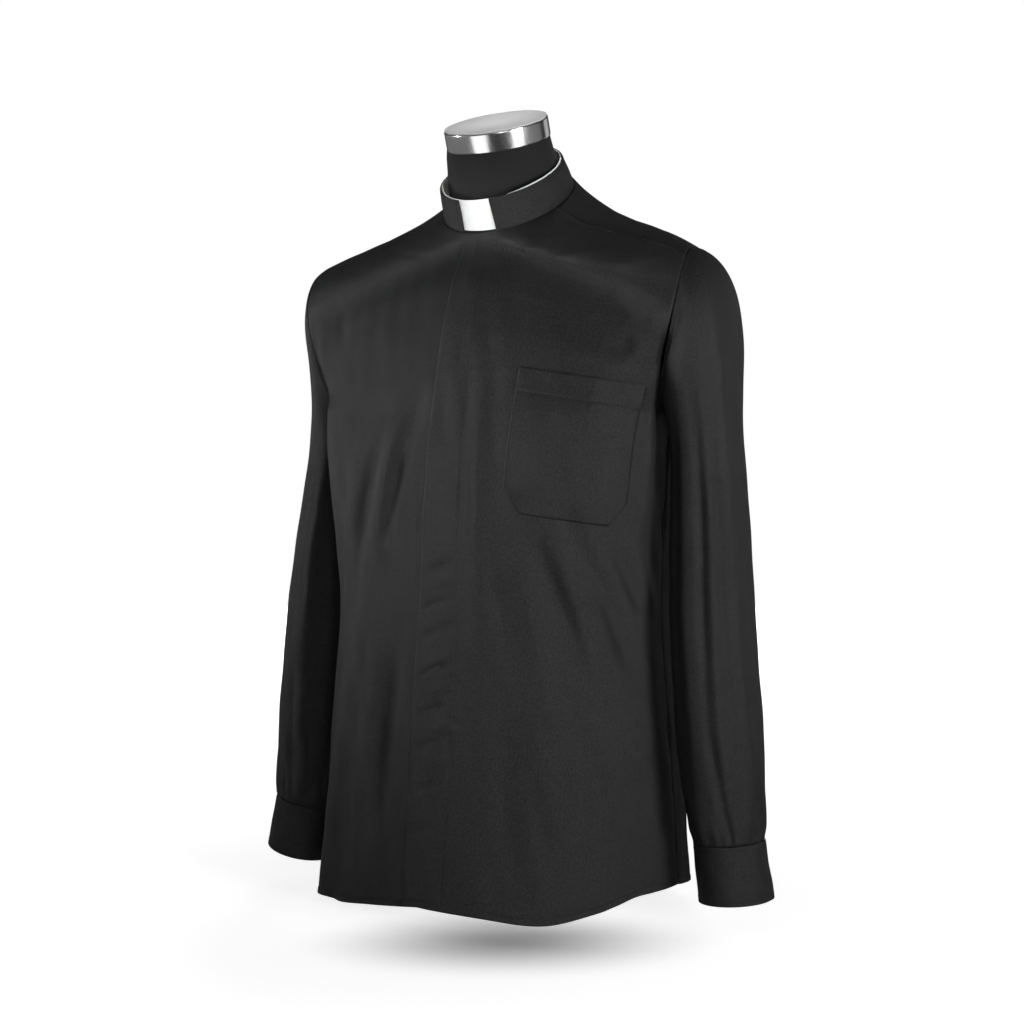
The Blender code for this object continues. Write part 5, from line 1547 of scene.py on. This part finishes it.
def studio_floor():
    """A large square floor that glows as a lit sweep does, so that it melts into the white background.

    The glow is a little lower near the form, and dimmed further in an oval under the front hem: a painted shadow.
    """
    half = FLOOR_HALF
    corners = [[-half, -half, 0], [half, -half, 0], [half, half, 0], [-half, half, 0]]
    mesh = mesh_of("Floor", corners, [[0, 1, 2, 3]])
    floor = bpy.data.objects.new("Floor", mesh)
    bpy.context.scene.collection.objects.link(floor)
    finish, start = new_finish("Pale floor", {"Roughness": 0.9, "Specular IOR Level": 0.0, "Emission Strength": 1.0})
    spot = start.node("ShaderNodeTexCoord", output=3)
    away = spot.node("ShaderNodeVectorMath", {"operation": "LENGTH"}, {0: spot}, 1)
    x, y = spot.part(0) - SHADE_PLACE[0], spot.part(1) - SHADE_PLACE[1]
    across = (x * math.cos(SHADE_TURN) + y * math.sin(SHADE_TURN)) * (1 / SHADE_ACROSS)
    ahead = (y * math.cos(SHADE_TURN) - x * math.sin(SHADE_TURN)) * (1 / SHADE_AHEAD)
    oval = spot.math("SQRT", across * across + ahead * ahead)
    glow = away.between(GLOW_FROM, GLOW_TO) * (1 - GLOW_NEAR) + GLOW_NEAR
    # Painted shadow: the glow is dimmed in a soft oval under the front hem, standing for the shirt's shadow.
    glow = glow - (1 - oval.between(0, SHADE_SOFT)) * SHADE_DEPTH
    glow = glow.shade((0, 0, 0), (1, 1, 1))
    glow_socket = finish.node_tree.nodes["Principled BSDF"].inputs["Emission Color"]
    finish.node_tree.links.new(glow.socket, glow_socket)
    connect(finish, spot.noise(3.0, 2.0).shade((0.86, 0.86, 0.86), (0.90, 0.90, 0.90)))
    mesh.materials.append(finish)
    floor.visible_diffuse = floor.visible_glossy = False


def softbox(name, place, target, size, power, spread=180):
    """A lit square panel that looks at target, its beam narrowed to spread degrees as by a grid."""
    light = bpy.data.lights.new(name, "AREA")
    light.size, light.energy, light.spread = size, power, math.radians(spread)
    lamp = bpy.data.objects.new(name, light)
    bpy.context.scene.collection.objects.link(lamp)
    lamp.location = place
    lamp.rotation_euler = (Vector(target) - Vector(place)).to_track_quat("-Z", "Y").to_euler()
    lamp.visible_camera = False
    return lamp


studio_floor()
softbox("Key", (-2.4, -1.1, 0.78), (-0.02, -0.05, 0.52), size=0.4, power=0.98, spread=24)
softbox("Near side", (2.7, -1.05, 0.55), (0, 0, 0.58), size=0.7, power=4.8, spread=44)
softbox("Fill", (1.5, -2.4, 0.50), (0, 0, 0.22), size=0.8, power=1.1, spread=40)
softbox("Collar", (0.9, -2.6, 0.62), (0.0, -0.055, 0.716), size=0.03, power=0.0110, spread=2.6)
softbox("Back", (-1.5, 2.6, 0.50), (0, 0, 0.42), size=0.8, power=45)
softbox("Top", (-0.2, -0.3, 2.8), (0, 0, 0.5), size=1.4, power=1)
cap_light = softbox("Cap", (0.0, -0.018, 1.25), (0, -0.018, 0.8), size=0.06, power=0.048, spread=30)
cap_light.visible_glossy = False

world = bpy.data.worlds.new("Studio")
world.use_nodes = True
bpy.context.scene.world = world
sky = Wire(world.node_tree)
background = world.node_tree.nodes["Background"]
WORLD_FILL = 0.02
CARD_EDGE_DEG = 2
CARD_EDGE = 0.03
Card = namedtuple("Card", "from_deg to_deg low high glow")
CARDS = [
    Card(-128, -40, -0.60, 0.10, 0.13),
    Card(-36, 2, -0.75, -0.26, 1.3),
    Card(60, 90, -0.62, -0.26, 1.2),
    Card(92, 138, -0.30, 0.15, 0.14),
    Card(156, 178, -0.10, 0.30, 0.5),
]


def within(value, low, high, edge):
    """1 between low and high, with soft edges, and 0 outside."""
    return value.between(low - edge, low + edge) * (1 - value.between(high - edge, high + edge))


def mirrored_cards():
    """Brightness of white cards hung round the stage below the cap, by compass angle and rise, for mirrors only."""
    ahead = sky.node("ShaderNodeTexCoord", output=0)
    turn = sky.math("ARCTAN2", ahead.part(0), 0 - ahead.part(1)) * (180 / math.pi)
    rise = ahead.part(2)
    total = 0
    for card in CARDS:
        wide = within(turn, card.from_deg, card.to_deg, CARD_EDGE_DEG)
        tall = within(rise, card.low, card.high, CARD_EDGE)
        total = total + wide * tall * card.glow
    return total * sky.node("ShaderNodeLightPath", output=3)


seen = sky.node("ShaderNodeLightPath", output=0)
strength = seen * (1.0 - WORLD_FILL) + WORLD_FILL + mirrored_cards()
world.node_tree.links.new(strength.socket, background.inputs["Strength"])
background.inputs["Color"].default_value = (1, 1, 1, 1)

CAMERA_PLACE = (1.1, -1.9053, 0.530)
CAMERA_LENS = 73.48
CAMERA_SHIFT = -0.045
CAMERA_TARGET = (0.0059, 0.0034, 0.4530)
camera_data = bpy.data.cameras.new("Camera")
camera_data.lens = CAMERA_LENS
camera_data.shift_y = CAMERA_SHIFT
camera = bpy.data.objects.new("Camera", camera_data)
bpy.context.scene.collection.objects.link(camera)
camera.location = CAMERA_PLACE
camera.rotation_euler = (Vector(CAMERA_TARGET) - Vector(CAMERA_PLACE)).to_track_quat("-Z", "Y").to_euler()
bpy.context.scene.camera = camera
bpy.context.scene.view_settings.view_transform = "Standard"
